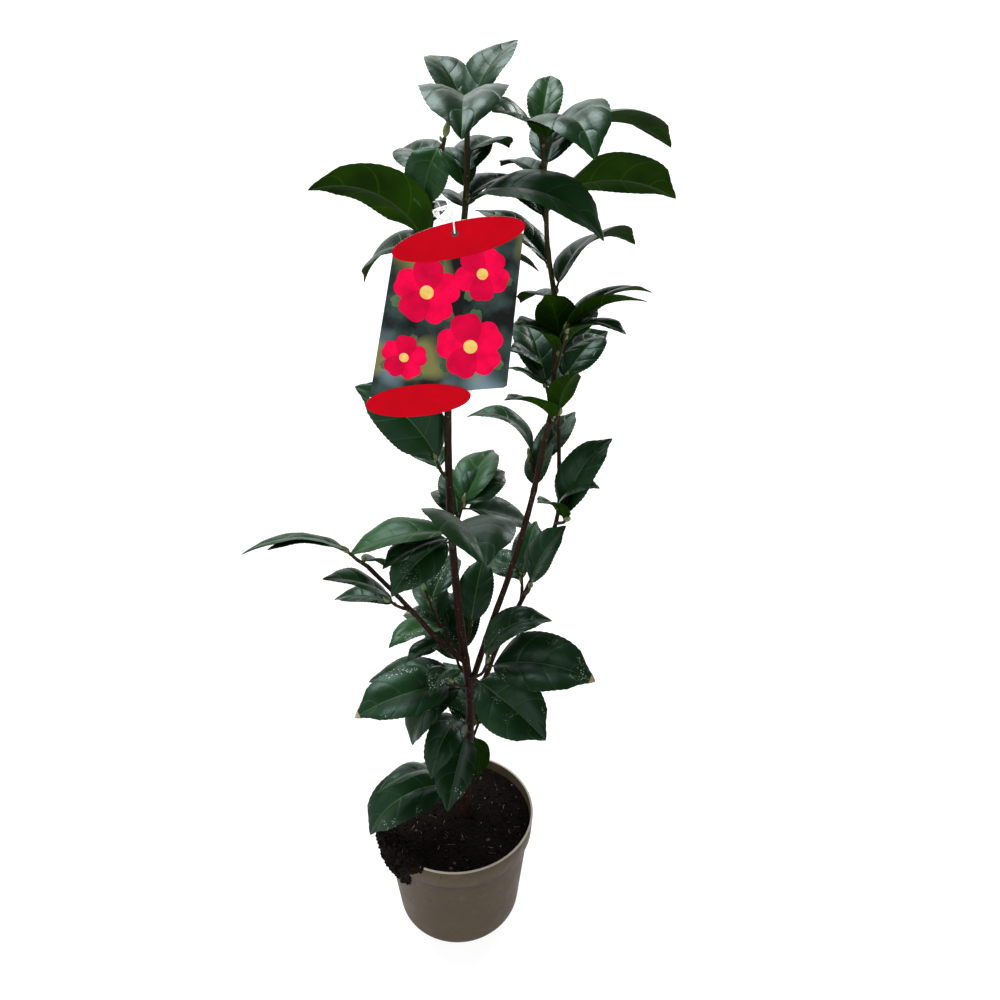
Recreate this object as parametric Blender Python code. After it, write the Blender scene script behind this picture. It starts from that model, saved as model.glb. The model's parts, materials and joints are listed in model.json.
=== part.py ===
"""A young camellia shrub in its nursery pot, modelled as separate solids.

Run with: blender --background --python part.py

Units are metres, +Z is up, and the origin is the centre of the pot's flat underside.
Sizes in the tables are millimetres and degrees. An azimuth is counted from +X towards +Y,
so 0 points right, 90 points to the back, 180 points left and 270 points to the front.
"""

import math
import random
from collections import namedtuple

import bmesh
import bpy
from mathutils import Matrix, Vector
from mathutils.bvhtree import BVHTree

MM = 0.001
GAP = 0.3 * MM

# The pot: a turned shell with an upright band below the rim.
POT_HEIGHT = 118 * MM
POT_RIM_RADIUS = 70 * MM
POT_BASE_RADIUS = 56.5 * MM
POT_WALL_TOP_RADIUS = 67.4 * MM
POT_BAND_DEPTH = 20 * MM
POT_BAND_STEP = 1.4 * MM
POT_EDGE_RADIUS = 14 * MM
POT_EDGE_STEPS = 4
POT_WALL = 2 * MM
POT_SIDES = 36

# The potting mix that fills it, with a rough top.
MIX_LEVEL = 108 * MM
MIX_ROUGHNESS = 1.6 * MM
MIX_RINGS = 4
MIX_SEED = 5
MIX_LEVEL_ROUND_TRUNK = 14 * MM

# Leaves: a folded blade of even thickness on a short stalk.
LEAF_THICKNESS = 1 * MM
LEAF_WIDTH_RATIO = 0.50
LEAF_FOLD = 0.20
LEAF_ARCH = 50
LEAF_STALK = 0.10
LEAF_STALK_WIDTH = 1.3 * MM
LEAF_STATIONS = (0.07, 0.30, 0.60, 0.87)
LEAF_WIDTH_POWERS = (0.62, 0.80)
LEAF_CLEARANCE = 0.35 * MM

# The card label, hung by a strap around the side twig behind it.
LABEL_THICKNESS = 1.1 * MM
LABEL_PLACE = (9, -47, 591)
LABEL_CORNERS = ((-32.5, 40), (-53.5, -54), (35, -47), (44.5, 50))
LABEL_BANDS = ((5.8, 45.3, 40.4, 10.4, 12), (-22.3, -55.8, 34.2, 10.8, 6))
LABEL_SIDES = 72
STRAP_WIDTH = 2.4 * MM
STRAP_THICKNESS = 1 * MM
STRAP_STEPS = 8
STRAP_WRAP = 200
STRAP_FRONT = (13, -47.6, 642)
STRAP_HEIGHT = 651 * MM

LIMB_SIDES = 10
LIMB_STEPS = 3
LIMB_RING_START = Vector((0.3, 1, 0.2))
MASS_STEM_SIDES = 6
MASS_STEM_RADIUS = 2 * MM

# Limbs: the points each one bends through, with its radius at the foot and at the tip.
# A limb that names a parent springs from it at the given height.
LIMBS = {
    "trunk": {
        "bends": ((8, 6, 108.4), (12, 5, 190), (14, 3, 250), (8, 0, 320), (3, 0, 400),
                  (2, 0, 480), (5, 0, 556), (9, 0, 590)),
        "radii": (4.2, 2.3), "flare": 1.5,
    },
    "right_bough": {
        "parent": "trunk", "height": 256,
        "bends": ((31, 9, 314), (47, 13, 364), (62, 15, 422), (71, 15, 470), (78, 15, 515),
                  (78, 14, 582)),
        "radii": (2.7, 1.9),
    },
    "outer_right_bough": {
        "parent": "trunk", "height": 222,
        "bends": ((38, 14, 294), (61, 28, 338), (85, 34, 403), (85, 34, 464), (83, 34, 500)),
        "radii": (2.3, 1.5),
    },
    "left_bough": {
        "parent": "trunk", "height": 286,
        "bends": ((-9, -16, 321), (-23, -22, 346), (-37, -30, 372), (-56, -43, 407)),
        "radii": (2.3, 1.6),
    },
}

# Masses of foliage. Each has one stem, which grows on from its parent's tip or springs from
# its side at the given height, and leaves along it. "spare" leaves are dealt by a seeded rule
# round the side that faces the back.
Leaf = namedtuple("Leaf", "at azimuth rise reach roll broad arch", defaults=(0, 1, LEAF_ARCH))
MASSES = {
    "crown_left": {
        "parent": "trunk",
        "bends": ((12, 0, 608), (18, -2, 652), (20, -6, 701)), "radii": (2.3, 1.7),
        "leaves": (
            Leaf(0.98, 120, 35, 60),
            Leaf(0.98, 50, 42, 64),
            Leaf(0.95, 270, -1, 83, 0, 1.2, 95),
            Leaf(0.68, 80, 20, 50),
            Leaf(0.60, 110, 30, 47),
            Leaf(0.56, 50, 5, 60),
            Leaf(0.54, 337, -10, 93, 15, 1.0, 85),
            Leaf(0.25, 25, -15, 60),
        ),
        "spare": 2,
    },
    "upper_left": {
        "parent": "trunk", "height": 545,
        "bends": ((0, -12, 580), (-4, -24, 625), (0, -25, 660), (7, -20, 690)), "radii": (1.7, 1.3),
        "leaves": (
            Leaf(0.53, 198, 31, 83, 37, 1.1, 94),
            Leaf(0.56, 145, -25, 64, -25, 1.0, 80),
            Leaf(0.98, 218, -68, 40, -44, 1.35, 60),
            Leaf(0.82, 115, 15, 60, -20),
        ),
        "spare": 1,
    },
    "crown_right": {
        "parent": "right_bough",
        "bends": ((71, 13, 622), (69, 12, 660), (65, 10, 689)), "radii": (1.9, 1.4),
        "leaves": (
            Leaf(0.98, 230, 20, 50, -30, 1.1),
            Leaf(0.98, 80, 40, 54, 0, 0.85),
            Leaf(0.93, 290, 0, 76, 15, 1.15, 110),
            Leaf(0.92, 23, -1, 95, -5, 1.13, 75),
            Leaf(0.75, 125, 5, 50),
            Leaf(0.65, 13, -2, 90, -35, 1.1, 58),
            Leaf(0.22, 150, 30, 68),
            Leaf(0.06, 35, 20, 76, -20, 1.0, 110),
            Leaf(0.03, 120, -15, 47),
        ),
        "spare": 2,
    },
    "right_middle": {
        "parent": "right_bough", "height": 533,
        "bends": ((81, 2, 550), (82, -6, 561), (83, -10, 569)), "radii": (1.5, 1.1),
        "leaves": (
            Leaf(0.50, 235, 65, 50, 30, 1.2),
            Leaf(0.95, 20, 20, 68, -10, 0.9, 80),
            Leaf(0.85, 335, 30, 64, -20, 0.9, 70),
            Leaf(0.75, 50, 25, 45, 30, 0.9, 40),
            Leaf(0.50, 315, 25, 60, 0, 0.9, 90),
            Leaf(0.40, 35, 10, 43),
            Leaf(0.45, 225, 35, 54, -15),
        ),
        "spare": 1,
    },
    "right_front": {
        "parent": "right_bough", "height": 490,
        "bends": ((79, 7, 498), (81, 1, 506)), "radii": (1.4, 1.1),
        "leaves": (
            Leaf(0.60, 218, 30, 54, 10, 1.1),
            Leaf(0.90, 300, 60, 46, -10),
        ),
        "spare": 0,
    },
    "right_back": {
        "parent": "right_bough", "height": 506,
        "bends": ((74, 24, 517), (69, 32, 530)), "radii": (1.4, 1.1),
        "leaves": (
            Leaf(0.90, 225, 35, 42, -25),
            Leaf(0.50, 205, 30, 40, 0, 0.5),
        ),
        "spare": 3,
    },
    "outer_right_tip": {
        "parent": "outer_right_bough",
        "bends": ((85, 36, 510), (88, 38, 519)), "radii": (1.5, 1.1),
        "leaves": (
            Leaf(0.90, 40, 35, 54, 30),
        ),
        "spare": 2,
    },
    "right_lower": {
        "parent": "right_bough", "height": 434,
        "bends": ((66, 24, 442), (63, 37, 456)), "radii": (1.4, 1.1),
        "leaves": (
            Leaf(0.92, 172, 34, 60, 0, 0.95, 125),
            Leaf(0.12, 74, 25, 55, -27, 0.95, 55),
            Leaf(0.60, 57, 24, 72, 0, 0.75, 30),
        ),
        "spare": 0,
    },
    "outer_right_middle": {
        "parent": "outer_right_bough", "height": 400,
        "bends": ((89, 22, 407), (91, 12, 415)), "radii": (1.4, 1.1),
        "leaves": (
            Leaf(0.85, 30, 56, 73, 16, 0.9, 75),
            Leaf(0.90, 335, 52, 42, 10, 1.3, 130),
            Leaf(0.80, 230, 40, 47),
        ),
        "spare": 1,
    },
    "outer_right_low": {
        "parent": "outer_right_bough", "height": 335,
        "bends": ((63, 20, 344), (64, 14, 352)), "radii": (1.4, 1.1),
        "leaves": (
            Leaf(0.90, 20, 60, 60, 10, 1.1, 40),
        ),
        "spare": 0,
    },
    "outer_right_rear": {
        "parent": "outer_right_bough", "height": 330,
        "bends": ((58, 33, 337), (58, 40, 345)), "radii": (1.4, 1.1),
        "leaves": (
            Leaf(0.80, 135, 5, 48, -15, 1.2),
            Leaf(0.90, 70, 45, 52),
        ),
        "spare": 1,
    },
    "centre_upper": {
        "parent": "trunk", "height": 455,
        "bends": ((-3, -5, 464), (-6, -8, 474)), "radii": (1.4, 1.1),
        "leaves": (
            Leaf(0.60, 170, 45, 85, -50, 1.05, 60),
        ),
        "spare": 2,
    },
    "centre_back": {
        "parent": "trunk", "height": 408,
        "bends": ((8, 9, 418), (11, 16, 427)), "radii": (1.4, 1.1),
        "leaves": (
            Leaf(0.80, 50, 15, 54, 20, 1.2),
            Leaf(0.85, 23, -25, 67, 19, 0.95, 24),
            Leaf(0.50, 115, 5, 47),
        ),
        "spare": 2,
    },
    "centre_front": {
        "parent": "trunk", "height": 396,
        "bends": ((4, -10, 409), (6, -17, 423)), "radii": (1.5, 1.1),
        "leaves": (
            Leaf(0.95, 287, 12, 86, -15, 1.55, 80),
            Leaf(0.50, 225, -20, 64, -40, 1.0, 60),
            Leaf(0.80, 195, -5, 78),
            Leaf(0.60, 215, -5, 60),
        ),
        "spare": 0,
    },
    "left_tip": {
        "parent": "left_bough",
        "bends": ((-62, -46, 414), (-67, -48, 421)), "radii": (1.6, 1.1),
        "leaves": (
            Leaf(0.95, 200, 11, 74, 20, 0.9, 60),
            Leaf(0.85, 205, 18, 60, 10, 0.9, 60),
            Leaf(0.30, 65, -35, 36),
        ),
        "spare": 0,
    },
    "left_inner": {
        "parent": "left_bough", "height": 356,
        "bends": ((-37, -34, 366), (-42, -39, 374)), "radii": (1.4, 1.1),
        "leaves": (
            Leaf(0.80, 205, 35, 62),
            Leaf(0.60, 170, 0, 50, 0, 1.0, 60),
        ),
        "spare": 0,
    },
    "middle_left": {
        "parent": "trunk", "height": 292,
        "bends": ((-2, 7, 304), (-12, 10, 322), (-21, 12, 350)), "radii": (1.5, 1.1),
        "leaves": (
            Leaf(0.45, 135, -10, 49, -10),
            Leaf(0.40, 220, 10, 54, 0, 1.0, 80),
            Leaf(0.25, 212, -5, 42),
        ),
        "spare": 2,
    },
    "inner_left": {
        "parent": "trunk", "height": 270,
        "bends": ((5, 7, 278), (3, 14, 287)), "radii": (1.4, 1.1),
        "leaves": (
            Leaf(0.90, 110, 35, 62, 0, 1.1, 30),
        ),
        "spare": 2,
    },
    "inner_right": {
        "parent": "trunk", "height": 300,
        "bends": ((14, 8, 308), (16, 15, 316)), "radii": (1.4, 1.1),
        "leaves": (
            Leaf(0.80, 75, 48, 62, 0, 1.0, 30),
        ),
        "spare": 1,
    },
    "foot_left": {
        "parent": "trunk", "height": 258,
        "bends": ((7, -7, 267), (1, -13, 277)), "radii": (1.6, 1.1),
        "leaves": (
            Leaf(0.70, 203, -3, 88, -15, 1.1, 40),
            Leaf(0.95, 250, 25, 50, 0, 0.9, 120),
            Leaf(0.50, 172, -3, 80, 0, 1.0, 60),
            Leaf(0.23, 210, -38, 65, -10, 1.0, 105),
        ),
        "spare": 1,
    },
    "foot_right": {
        "parent": "trunk", "height": 268,
        "bends": ((24, -8, 281), (29, -13, 296)), "radii": (1.6, 1.1),
        "leaves": (
            Leaf(0.80, 342, 6, 92, 26, 1.15, 55),
            Leaf(0.95, 5, 37, 66, 8, 1.05, 115),
            Leaf(0.20, 321, -18, 80, 30, 1.35, 20),
        ),
        "spare": 1,
    },
    "low_left": {
        "parent": "trunk", "height": 206,
        "bends": ((10, -3, 217), (8, -8, 229)), "radii": (1.5, 1.1),
        "leaves": (
            Leaf(0.88, 247, -6, 61, -22, 0.95, 135),
            Leaf(0.30, 257, -24, 71, 16, 1.05, 25),
        ),
        "spare": 0,
    },
    "low_back": {
        "parent": "trunk", "height": 190,
        "bends": ((17, 12, 199), (21, 17, 207)), "radii": (1.5, 1.1),
        "leaves": (
            Leaf(0.43, 61, -85, 56, -8, 0.75, 56),
        ),
        "spare": 3,
    },
    "lowest_left": {
        "parent": "trunk", "height": 134,
        "bends": ((0, 1, 143), (-9, -5, 152)), "radii": (1.5, 1.1),
        "leaves": (
            Leaf(0.95, 212, 23, 71, 18, 0.85, 115),
            Leaf(0.55, 205, -14, 84, -20, 1.1, 115),
        ),
        "spare": 0,
    },
}
SPARE_SEED = 31
SPARE_REACH = (50, 72)
SPARE_RISE = (-5, 35)
SPARE_SPREAD = 40

# Colour, roughness and metallic value of each material.
FINISHES = {
    "pot_plastic": ((0.115, 0.095, 0.078), 0.55, 0.0),
    "potting_mix": ((0.012, 0.008, 0.006), 0.95, 0.0),
    "bark": ((0.055, 0.028, 0.018), 0.70, 0.0),
    "foliage": ((0.018, 0.060, 0.022), 0.30, 0.0),
    "label_card": ((0.450, 0.008, 0.020), 0.35, 0.0),
}


def clear_scene():
    for item in list(bpy.data.objects):
        bpy.data.objects.remove(item, do_unlink=True)


def material(name):
    if name in bpy.data.materials:
        return bpy.data.materials[name]
    colour, roughness, metallic = FINISHES[name]
    made = bpy.data.materials.new(name)
    made.use_nodes = True
    shader = made.node_tree.nodes["Principled BSDF"]
    shader.inputs["Base Color"].default_value = (*colour, 1.0)
    shader.inputs["Roughness"].default_value = roughness
    shader.inputs["Metallic"].default_value = metallic
    return made


def place(name, bm, finish, smooth_angle=None):
    """Turn a bmesh into a finished object in the scene."""
    mesh = bpy.data.meshes.new(name)
    bmesh.ops.recalc_face_normals(bm, faces=bm.faces)
    bm.to_mesh(mesh)
    bm.free()
    mesh.materials.append(material(finish))
    if smooth_angle is not None:
        mesh.shade_smooth()
        mesh.set_sharp_from_angle(angle=math.radians(smooth_angle))
    made = bpy.data.objects.new(name, mesh)
    bpy.context.scene.collection.objects.link(made)
    return made


def direction(azimuth, rise):
    turn, lift = math.radians(azimuth), math.radians(rise)
    return Vector((math.cos(lift) * math.cos(turn), math.cos(lift) * math.sin(turn), math.sin(lift)))


def bridge(bm, lower, upper):
    """Join two rings of the same number of vertices."""
    for index in range(len(lower)):
        follow = (index + 1) % len(lower)
        bm.faces.new((lower[index], lower[follow], upper[follow], upper[index]))


def turned(bm, profile, sides):
    """A solid turned about Z from (radius, height) points; the first and last lie on the axis."""
    rings = []
    for radius, height in profile[1:-1]:
        ring = []
        for side in range(sides):
            angle = math.tau * side / sides
            ring.append(bm.verts.new((radius * math.cos(angle), radius * math.sin(angle), height)))
        rings.append(ring)
    for lower, upper in zip(rings, rings[1:]):
        bridge(bm, lower, upper)
    for ring, (_, height) in ((rings[0], profile[0]), (rings[-1], profile[-1])):
        centre = bm.verts.new((0, 0, height))
        for index in range(sides):
            bm.faces.new((ring[index], centre, ring[(index + 1) % sides]))
    return rings


def pot_radius(height):
    """Outer radius of the tapered wall below the band."""
    share = height / (POT_HEIGHT - POT_BAND_DEPTH)
    return POT_BASE_RADIUS + (POT_WALL_TOP_RADIUS - POT_BASE_RADIUS) * share


def pot_edge(inset):
    """The rounded edge between the underside and the wall, moved inwards by an inset."""
    taper = math.atan((POT_WALL_TOP_RADIUS - POT_BASE_RADIUS) / (POT_HEIGHT - POT_BAND_DEPTH))
    last = math.pi / 2 - taper
    top = POT_EDGE_RADIUS * (1 - math.cos(last))
    centre = pot_radius(top) - POT_EDGE_RADIUS * math.sin(last)
    edge = []
    for step in range(POT_EDGE_STEPS + 1):
        angle = last * step / POT_EDGE_STEPS
        radius = POT_EDGE_RADIUS - inset
        edge.append((centre + radius * math.sin(angle), POT_EDGE_RADIUS - radius * math.cos(angle)))
    return edge


def wall_profile(inset):
    """From the underside up the wall to just over the step below the band."""
    band_foot = POT_HEIGHT - POT_BAND_DEPTH
    return [
        (0, inset), *pot_edge(inset),
        (pot_radius(band_foot) - inset, band_foot - 1 * MM),
        (pot_radius(band_foot) + POT_BAND_STEP - inset, band_foot + 1 * MM),
    ]


def pot():
    profile = [
        *wall_profile(0),
        (POT_RIM_RADIUS, POT_HEIGHT - 1 * MM),
        (POT_RIM_RADIUS - 0.6 * MM, POT_HEIGHT),
        (POT_RIM_RADIUS - POT_WALL + 0.4 * MM, POT_HEIGHT),
        *reversed(wall_profile(POT_WALL)),
    ]
    bm = bmesh.new()
    turned(bm, profile, POT_SIDES)
    return place("pot", bm, "pot_plastic", smooth_angle=35)


def potting_mix():
    """Fills the pot 0.3 mm clear of it; the top is uneven, but level round the trunk."""
    draw = random.Random(MIX_SEED)
    inset = POT_WALL + GAP + 0.1 * MM
    band_foot = POT_HEIGHT - POT_BAND_DEPTH
    share = (MIX_LEVEL - band_foot) / POT_BAND_DEPTH
    step_radius = pot_radius(band_foot) + POT_BAND_STEP
    brim = step_radius + (POT_RIM_RADIUS - step_radius) * share - inset
    profile = [*wall_profile(inset), (brim, MIX_LEVEL - 2 * MM)]
    for ring in range(MIX_RINGS):
        profile.append((brim * (MIX_RINGS - ring) / (MIX_RINGS + 0.6), MIX_LEVEL))
    profile.append((0, MIX_LEVEL))
    bm = bmesh.new()
    rings = turned(bm, profile, POT_SIDES)
    stem_foot = Vector(LIMBS["trunk"]["bends"][0]) * MM
    for ring in rings[-MIX_RINGS:]:
        for vertex in ring:
            if (vertex.co.xy - stem_foot.xy).length > MIX_LEVEL_ROUND_TRUNK:
                vertex.co.z += draw.uniform(-1, 1) * MIX_ROUGHNESS
    return place("potting_mix", bm, "potting_mix", smooth_angle=60)


def smooth_path(points, steps):
    """Points along a Catmull-Rom curve through the given ones."""
    path = [points[0] * 2 - points[1], *points, points[-1] * 2 - points[-2]]
    made = [points[0]]
    for before, start, end, after in zip(path, path[1:], path[2:], path[3:]):
        for step in range(1, steps + 1):
            t = step / steps
            made.append(0.5 * (2 * start + (end - before) * t
                               + (2 * before - 5 * start + 4 * end - after) * t ** 2
                               + (3 * start - before - 3 * end + after) * t ** 3))
    return made


def distances(path):
    """Length along a path at each of its points, from 0 to 1."""
    reach = [0.0]
    for start, end in zip(path, path[1:]):
        reach.append(reach[-1] + (end - start).length)
    return [value / reach[-1] for value in reach]


def point_along(path, share):
    marks = distances(path)
    for index in range(len(marks) - 1):
        if share <= marks[index + 1]:
            part = (share - marks[index]) / (marks[index + 1] - marks[index])
            return path[index].lerp(path[index + 1], part)
    return path[-1]


def point_at_height(path, height):
    """The point on a limb's axis at a height, its direction there and its share of the length."""
    marks = distances(path)
    for index in range(len(path) - 1):
        start, end = path[index], path[index + 1]
        if start.z <= height <= end.z:
            part = (height - start.z) / (end.z - start.z)
            share = marks[index] + (marks[index + 1] - marks[index]) * part
            return start.lerp(end, part), (end - start).normalized(), share
    return path[-1], (path[-1] - path[-2]).normalized(), 1.0


def limb_radius(limb, share):
    foot, tip = limb["radii"]
    flare = limb.get("flare", 1.0)
    spread = 1 + (flare - 1) * max(0.0, 1 - share / 0.06)
    return (foot + (tip - foot) * share) * MM * spread


def grow_path(limb, paths):
    """A limb's axis, its foot cut by a plane that stands clear of the parent."""
    bends = [Vector(bend) * MM for bend in limb["bends"]]
    if "parent" not in limb:
        return smooth_path(bends, LIMB_STEPS), Vector((0, 0, 1))
    parent, parent_path = paths[limb["parent"]]
    if "height" not in limb:
        seat = (parent_path[-1] - parent_path[-2]).normalized()
        return smooth_path([parent_path[-1] + seat * GAP, *bends], LIMB_STEPS), seat
    root, along, share = point_at_height(parent_path, limb["height"] * MM)
    run = bends[0] - root
    seat = (run - along * run.dot(along)).normalized()
    clear = limb_radius(parent, share) + GAP
    foot = root + run * (clear / run.dot(seat))
    return smooth_path([foot, *bends], LIMB_STEPS), seat


def limb_rings(bm, limb, path, seat):
    """Rings round a limb's axis, the first one cut by the seat's plane."""
    sides = LIMB_SIDES if limb["radii"][0] * MM > MASS_STEM_RADIUS else MASS_STEM_SIDES
    marks = distances(path)
    across = (path[1] - path[0]).cross(LIMB_RING_START).normalized()
    rings = []
    for index, centre in enumerate(path):
        ahead = path[min(index + 1, len(path) - 1)] - path[max(index - 1, 0)]
        ahead.normalize()
        across = (across - ahead * across.dot(ahead)).normalized()
        other = ahead.cross(across)
        ring = []
        for side in range(sides):
            angle = math.tau * side / sides
            offset = (across * math.cos(angle) + other * math.sin(angle)) * limb_radius(limb, marks[index])
            if index == 0:
                offset -= ahead * (offset.dot(seat) / ahead.dot(seat))
            ring.append(bm.verts.new(centre + offset))
        rings.append(ring)
    for lower, upper in zip(rings, rings[1:]):
        bridge(bm, lower, upper)
    bm.faces.new(reversed(rings[0]))
    bm.faces.new(rings[-1])


def grow_limb(name, paths):
    limb = LIMBS[name]
    path, seat = grow_path(limb, paths)
    paths[name] = (limb, path)
    bm = bmesh.new()
    limb_rings(bm, limb, path, seat)
    return place(name, bm, "bark", smooth_angle=50)


def leaf_width(share):
    """Half width of the blade from its foot at 0 to its tip at 1, as a share of the widest."""
    rising, falling = LEAF_WIDTH_POWERS
    peak = rising / (rising + falling)
    return (share / peak) ** rising * ((1 - share) / (1 - peak)) ** falling


def leaf_frames(row, shares):
    """Centre line points for a chord of 1 along the given direction, with side and up axes."""
    steps = 24
    flat = [Vector((0.0, 0.0))]
    for step in range(steps):
        pitch = math.radians(row.arch) * (0.5 - (step + 0.5) / steps)
        flat.append(flat[-1] + Vector((math.cos(pitch), math.sin(pitch))) / steps)
    chord = flat[-1].x
    frames = []
    ahead = direction(row.azimuth, row.rise)
    side = direction(row.azimuth + 90, 0)
    up = ahead.cross(side)
    for share in shares:
        place_in = share * steps
        index = min(int(place_in), steps - 1)
        spot = flat[index].lerp(flat[index + 1], place_in - index) / chord
        pitch = math.radians(row.arch) * (0.5 - share)
        tangent = ahead * math.cos(pitch) + up * math.sin(pitch)
        normal = up * math.cos(pitch) - ahead * math.sin(pitch)
        turn = Matrix.Rotation(math.radians(row.roll) * min(1.0, share * 3), 3, tangent)
        frames.append((ahead * spot.x + up * spot.y, turn @ side, turn @ normal))
    return frames


def grow_leaf(bm, root, row, grow=0.0):
    """One leaf: a stalk from the root, then a folded blade. grow thickens it for a clearance test."""
    length = row.reach * MM
    thick = LEAF_THICKNESS + 2 * grow
    widest = length * LEAF_WIDTH_RATIO * 0.5 * row.broad
    shares = [0.0, LEAF_STALK] + [LEAF_STALK + (1 - LEAF_STALK) * s for s in LEAF_STATIONS] + [1.0]
    halves = [LEAF_STALK_WIDTH / 2] * 2 + [widest * leaf_width(s) for s in LEAF_STATIONS] + [0.5 * MM]
    rings = []
    for (spot, side, normal), half in zip(leaf_frames(row, shares), halves):
        centre = root + spot * length
        half += grow
        lift = normal * (half * LEAF_FOLD)
        upper = normal * (thick / 2)
        ring = [centre - side * half + lift + upper, centre + upper, centre + side * half + lift + upper,
                centre + side * half + lift - upper, centre - upper, centre - side * half + lift - upper]
        rings.append([bm.verts.new(corner) for corner in ring])
    for lower, upper in zip(rings, rings[1:]):
        bridge(bm, lower, upper)
    for ring in (rings[0], rings[-1]):
        bm.faces.new((ring[0], ring[1], ring[4], ring[5]))
        bm.faces.new((ring[1], ring[2], ring[3], ring[4]))


def spare_leaves(name):
    """Leaves for the back of a mass, spread evenly up its stem."""
    draw = random.Random(SPARE_SEED + list(MASSES).index(name))
    count = MASSES[name]["spare"]
    rows = []
    for number in range(count):
        at = 0.35 + 0.6 * (number + 0.5) / count
        side = SPARE_SPREAD * (-1 if number % 2 else 1) * draw.uniform(0.2, 1.0)
        rows.append(Leaf(at, 90 + side, draw.uniform(*SPARE_RISE), draw.uniform(*SPARE_REACH)))
    return rows


def tree_of(bm):
    bmesh.ops.triangulate(bm, faces=bm.faces)
    return BVHTree.FromBMesh(bm)


def object_tree(made):
    bm = bmesh.new()
    bm.from_mesh(made.data)
    found = tree_of(bm)
    bm.free()
    return found


def start_mass(name, paths, taken):
    """The stem of a mass, and an empty collection for its leaves."""
    path, seat = grow_path(MASSES[name], paths)
    paths[name] = (MASSES[name], path)
    bm = bmesh.new()
    limb_rings(bm, MASSES[name], path, seat)
    stem = place(name, bm, "foliage", smooth_angle=40)
    taken[name] = [object_tree(stem)]
    return stem, bpy.data.collections.new(name + "_leaves")


def add_leaves(name, rows, pieces, paths, taken):
    """Adds the leaves that keep clear of every limb and of every other mass."""
    for row in rows:
        root = point_along(paths[name][1], row.at)
        probe = bmesh.new()
        grow_leaf(probe, root, row, LEAF_CLEARANCE)
        outline = tree_of(probe)
        probe.free()
        others = [tree for other, trees in taken.items() if other != name for tree in trees]
        if any(outline.overlap(tree) for tree in others):
            continue
        bm = bmesh.new()
        grow_leaf(bm, root, row)
        blade = place(name + "_leaf", bm, "foliage")
        pieces.objects.link(blade)
        taken[name].append(object_tree(blade))


def join_mass(stem, pieces):
    """Fuses the leaves to their stem."""
    join = stem.modifiers.new("join", "BOOLEAN")
    join.operation = "UNION"
    join.operand_type = "COLLECTION"
    join.collection = pieces
    join.solver = "MANIFOLD"
    joined = bpy.data.meshes.new_from_object(stem.evaluated_get(bpy.context.evaluated_depsgraph_get()))
    stem.modifiers.clear()
    stem.data = joined
    for blade in list(pieces.objects):
        bpy.data.objects.remove(blade, do_unlink=True)
    bpy.data.collections.remove(pieces)


def reach_of_ellipse(angle, centre_x, centre_y, half_width, half_height, turn):
    """How far a ray from the label's centre runs before it leaves an ellipse."""
    tilt = math.radians(turn)
    ray = Vector((math.cos(angle - tilt) / half_width, math.sin(angle - tilt) / half_height))
    centre = Matrix.Rotation(-tilt, 2) @ Vector((centre_x, centre_y))
    centre = Vector((centre.x / half_width, centre.y / half_height))
    along = ray.dot(centre)
    inside = along ** 2 - ray.length_squared * (centre.length_squared - 1)
    return (along + math.sqrt(inside)) / ray.length_squared if inside > 0 and along > 0 else 0


def reach_of_edge(angle, start, end):
    """How far a ray from the label's centre runs before it crosses the line of a card's edge."""
    ray = Vector((math.cos(angle), math.sin(angle)))
    outward = Vector((end[1] - start[1], start[0] - end[0]))
    ahead = ray.dot(outward)
    return Vector(start).dot(outward) / ahead if ahead > 1e-6 else math.inf


def label_outline():
    """The card: a leaning four-sided sheet with an oval across its head and another at its foot."""
    edges = list(zip(LABEL_CORNERS, LABEL_CORNERS[1:] + LABEL_CORNERS[:1]))
    outline = []
    for index in range(LABEL_SIDES):
        angle = math.tau * index / LABEL_SIDES
        reach = min(reach_of_edge(angle, *edge) for edge in edges)
        reach = max([reach] + [reach_of_ellipse(angle, *band) for band in LABEL_BANDS])
        outline.append((reach * math.cos(angle) * MM, reach * math.sin(angle) * MM))
    return outline


def label_strap(paths):
    """A flat strap: from the card's face back round the twig and forward again."""
    mass, path = paths["upper_left"]
    front = Vector(STRAP_FRONT) * MM
    twig, along, share = point_at_height(path, STRAP_HEIGHT)
    inner_radius = limb_radius(mass, share) + 2 * GAP
    back = twig - front
    back = (back - along * back.dot(along)).normalized()
    side = along.cross(back)
    rise = along * STRAP_WIDTH / 2
    edges = []
    for near_front, radius in ((0.4 * MM, inner_radius), (1.4 * MM, inner_radius + STRAP_THICKNESS)):
        edge = [front - side * near_front]
        for step in range(STRAP_STEPS + 1):
            angle = math.radians(STRAP_WRAP * (step / STRAP_STEPS - 0.5))
            edge.append(twig + (back * math.cos(angle) + side * math.sin(angle)) * radius)
        edge.append(front + side * near_front)
        edges.append(edge)
    bm = bmesh.new()
    rings = []
    for near, far in zip(*edges):
        rings.append([bm.verts.new(corner) for corner in (near - rise, far - rise, far + rise, near + rise)])
    for lower, upper in zip(rings, rings[1:]):
        bridge(bm, lower, upper)
    bm.faces.new(reversed(rings[0]))
    bm.faces.new(rings[-1])
    return place("label_strap", bm, "label_card")


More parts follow.
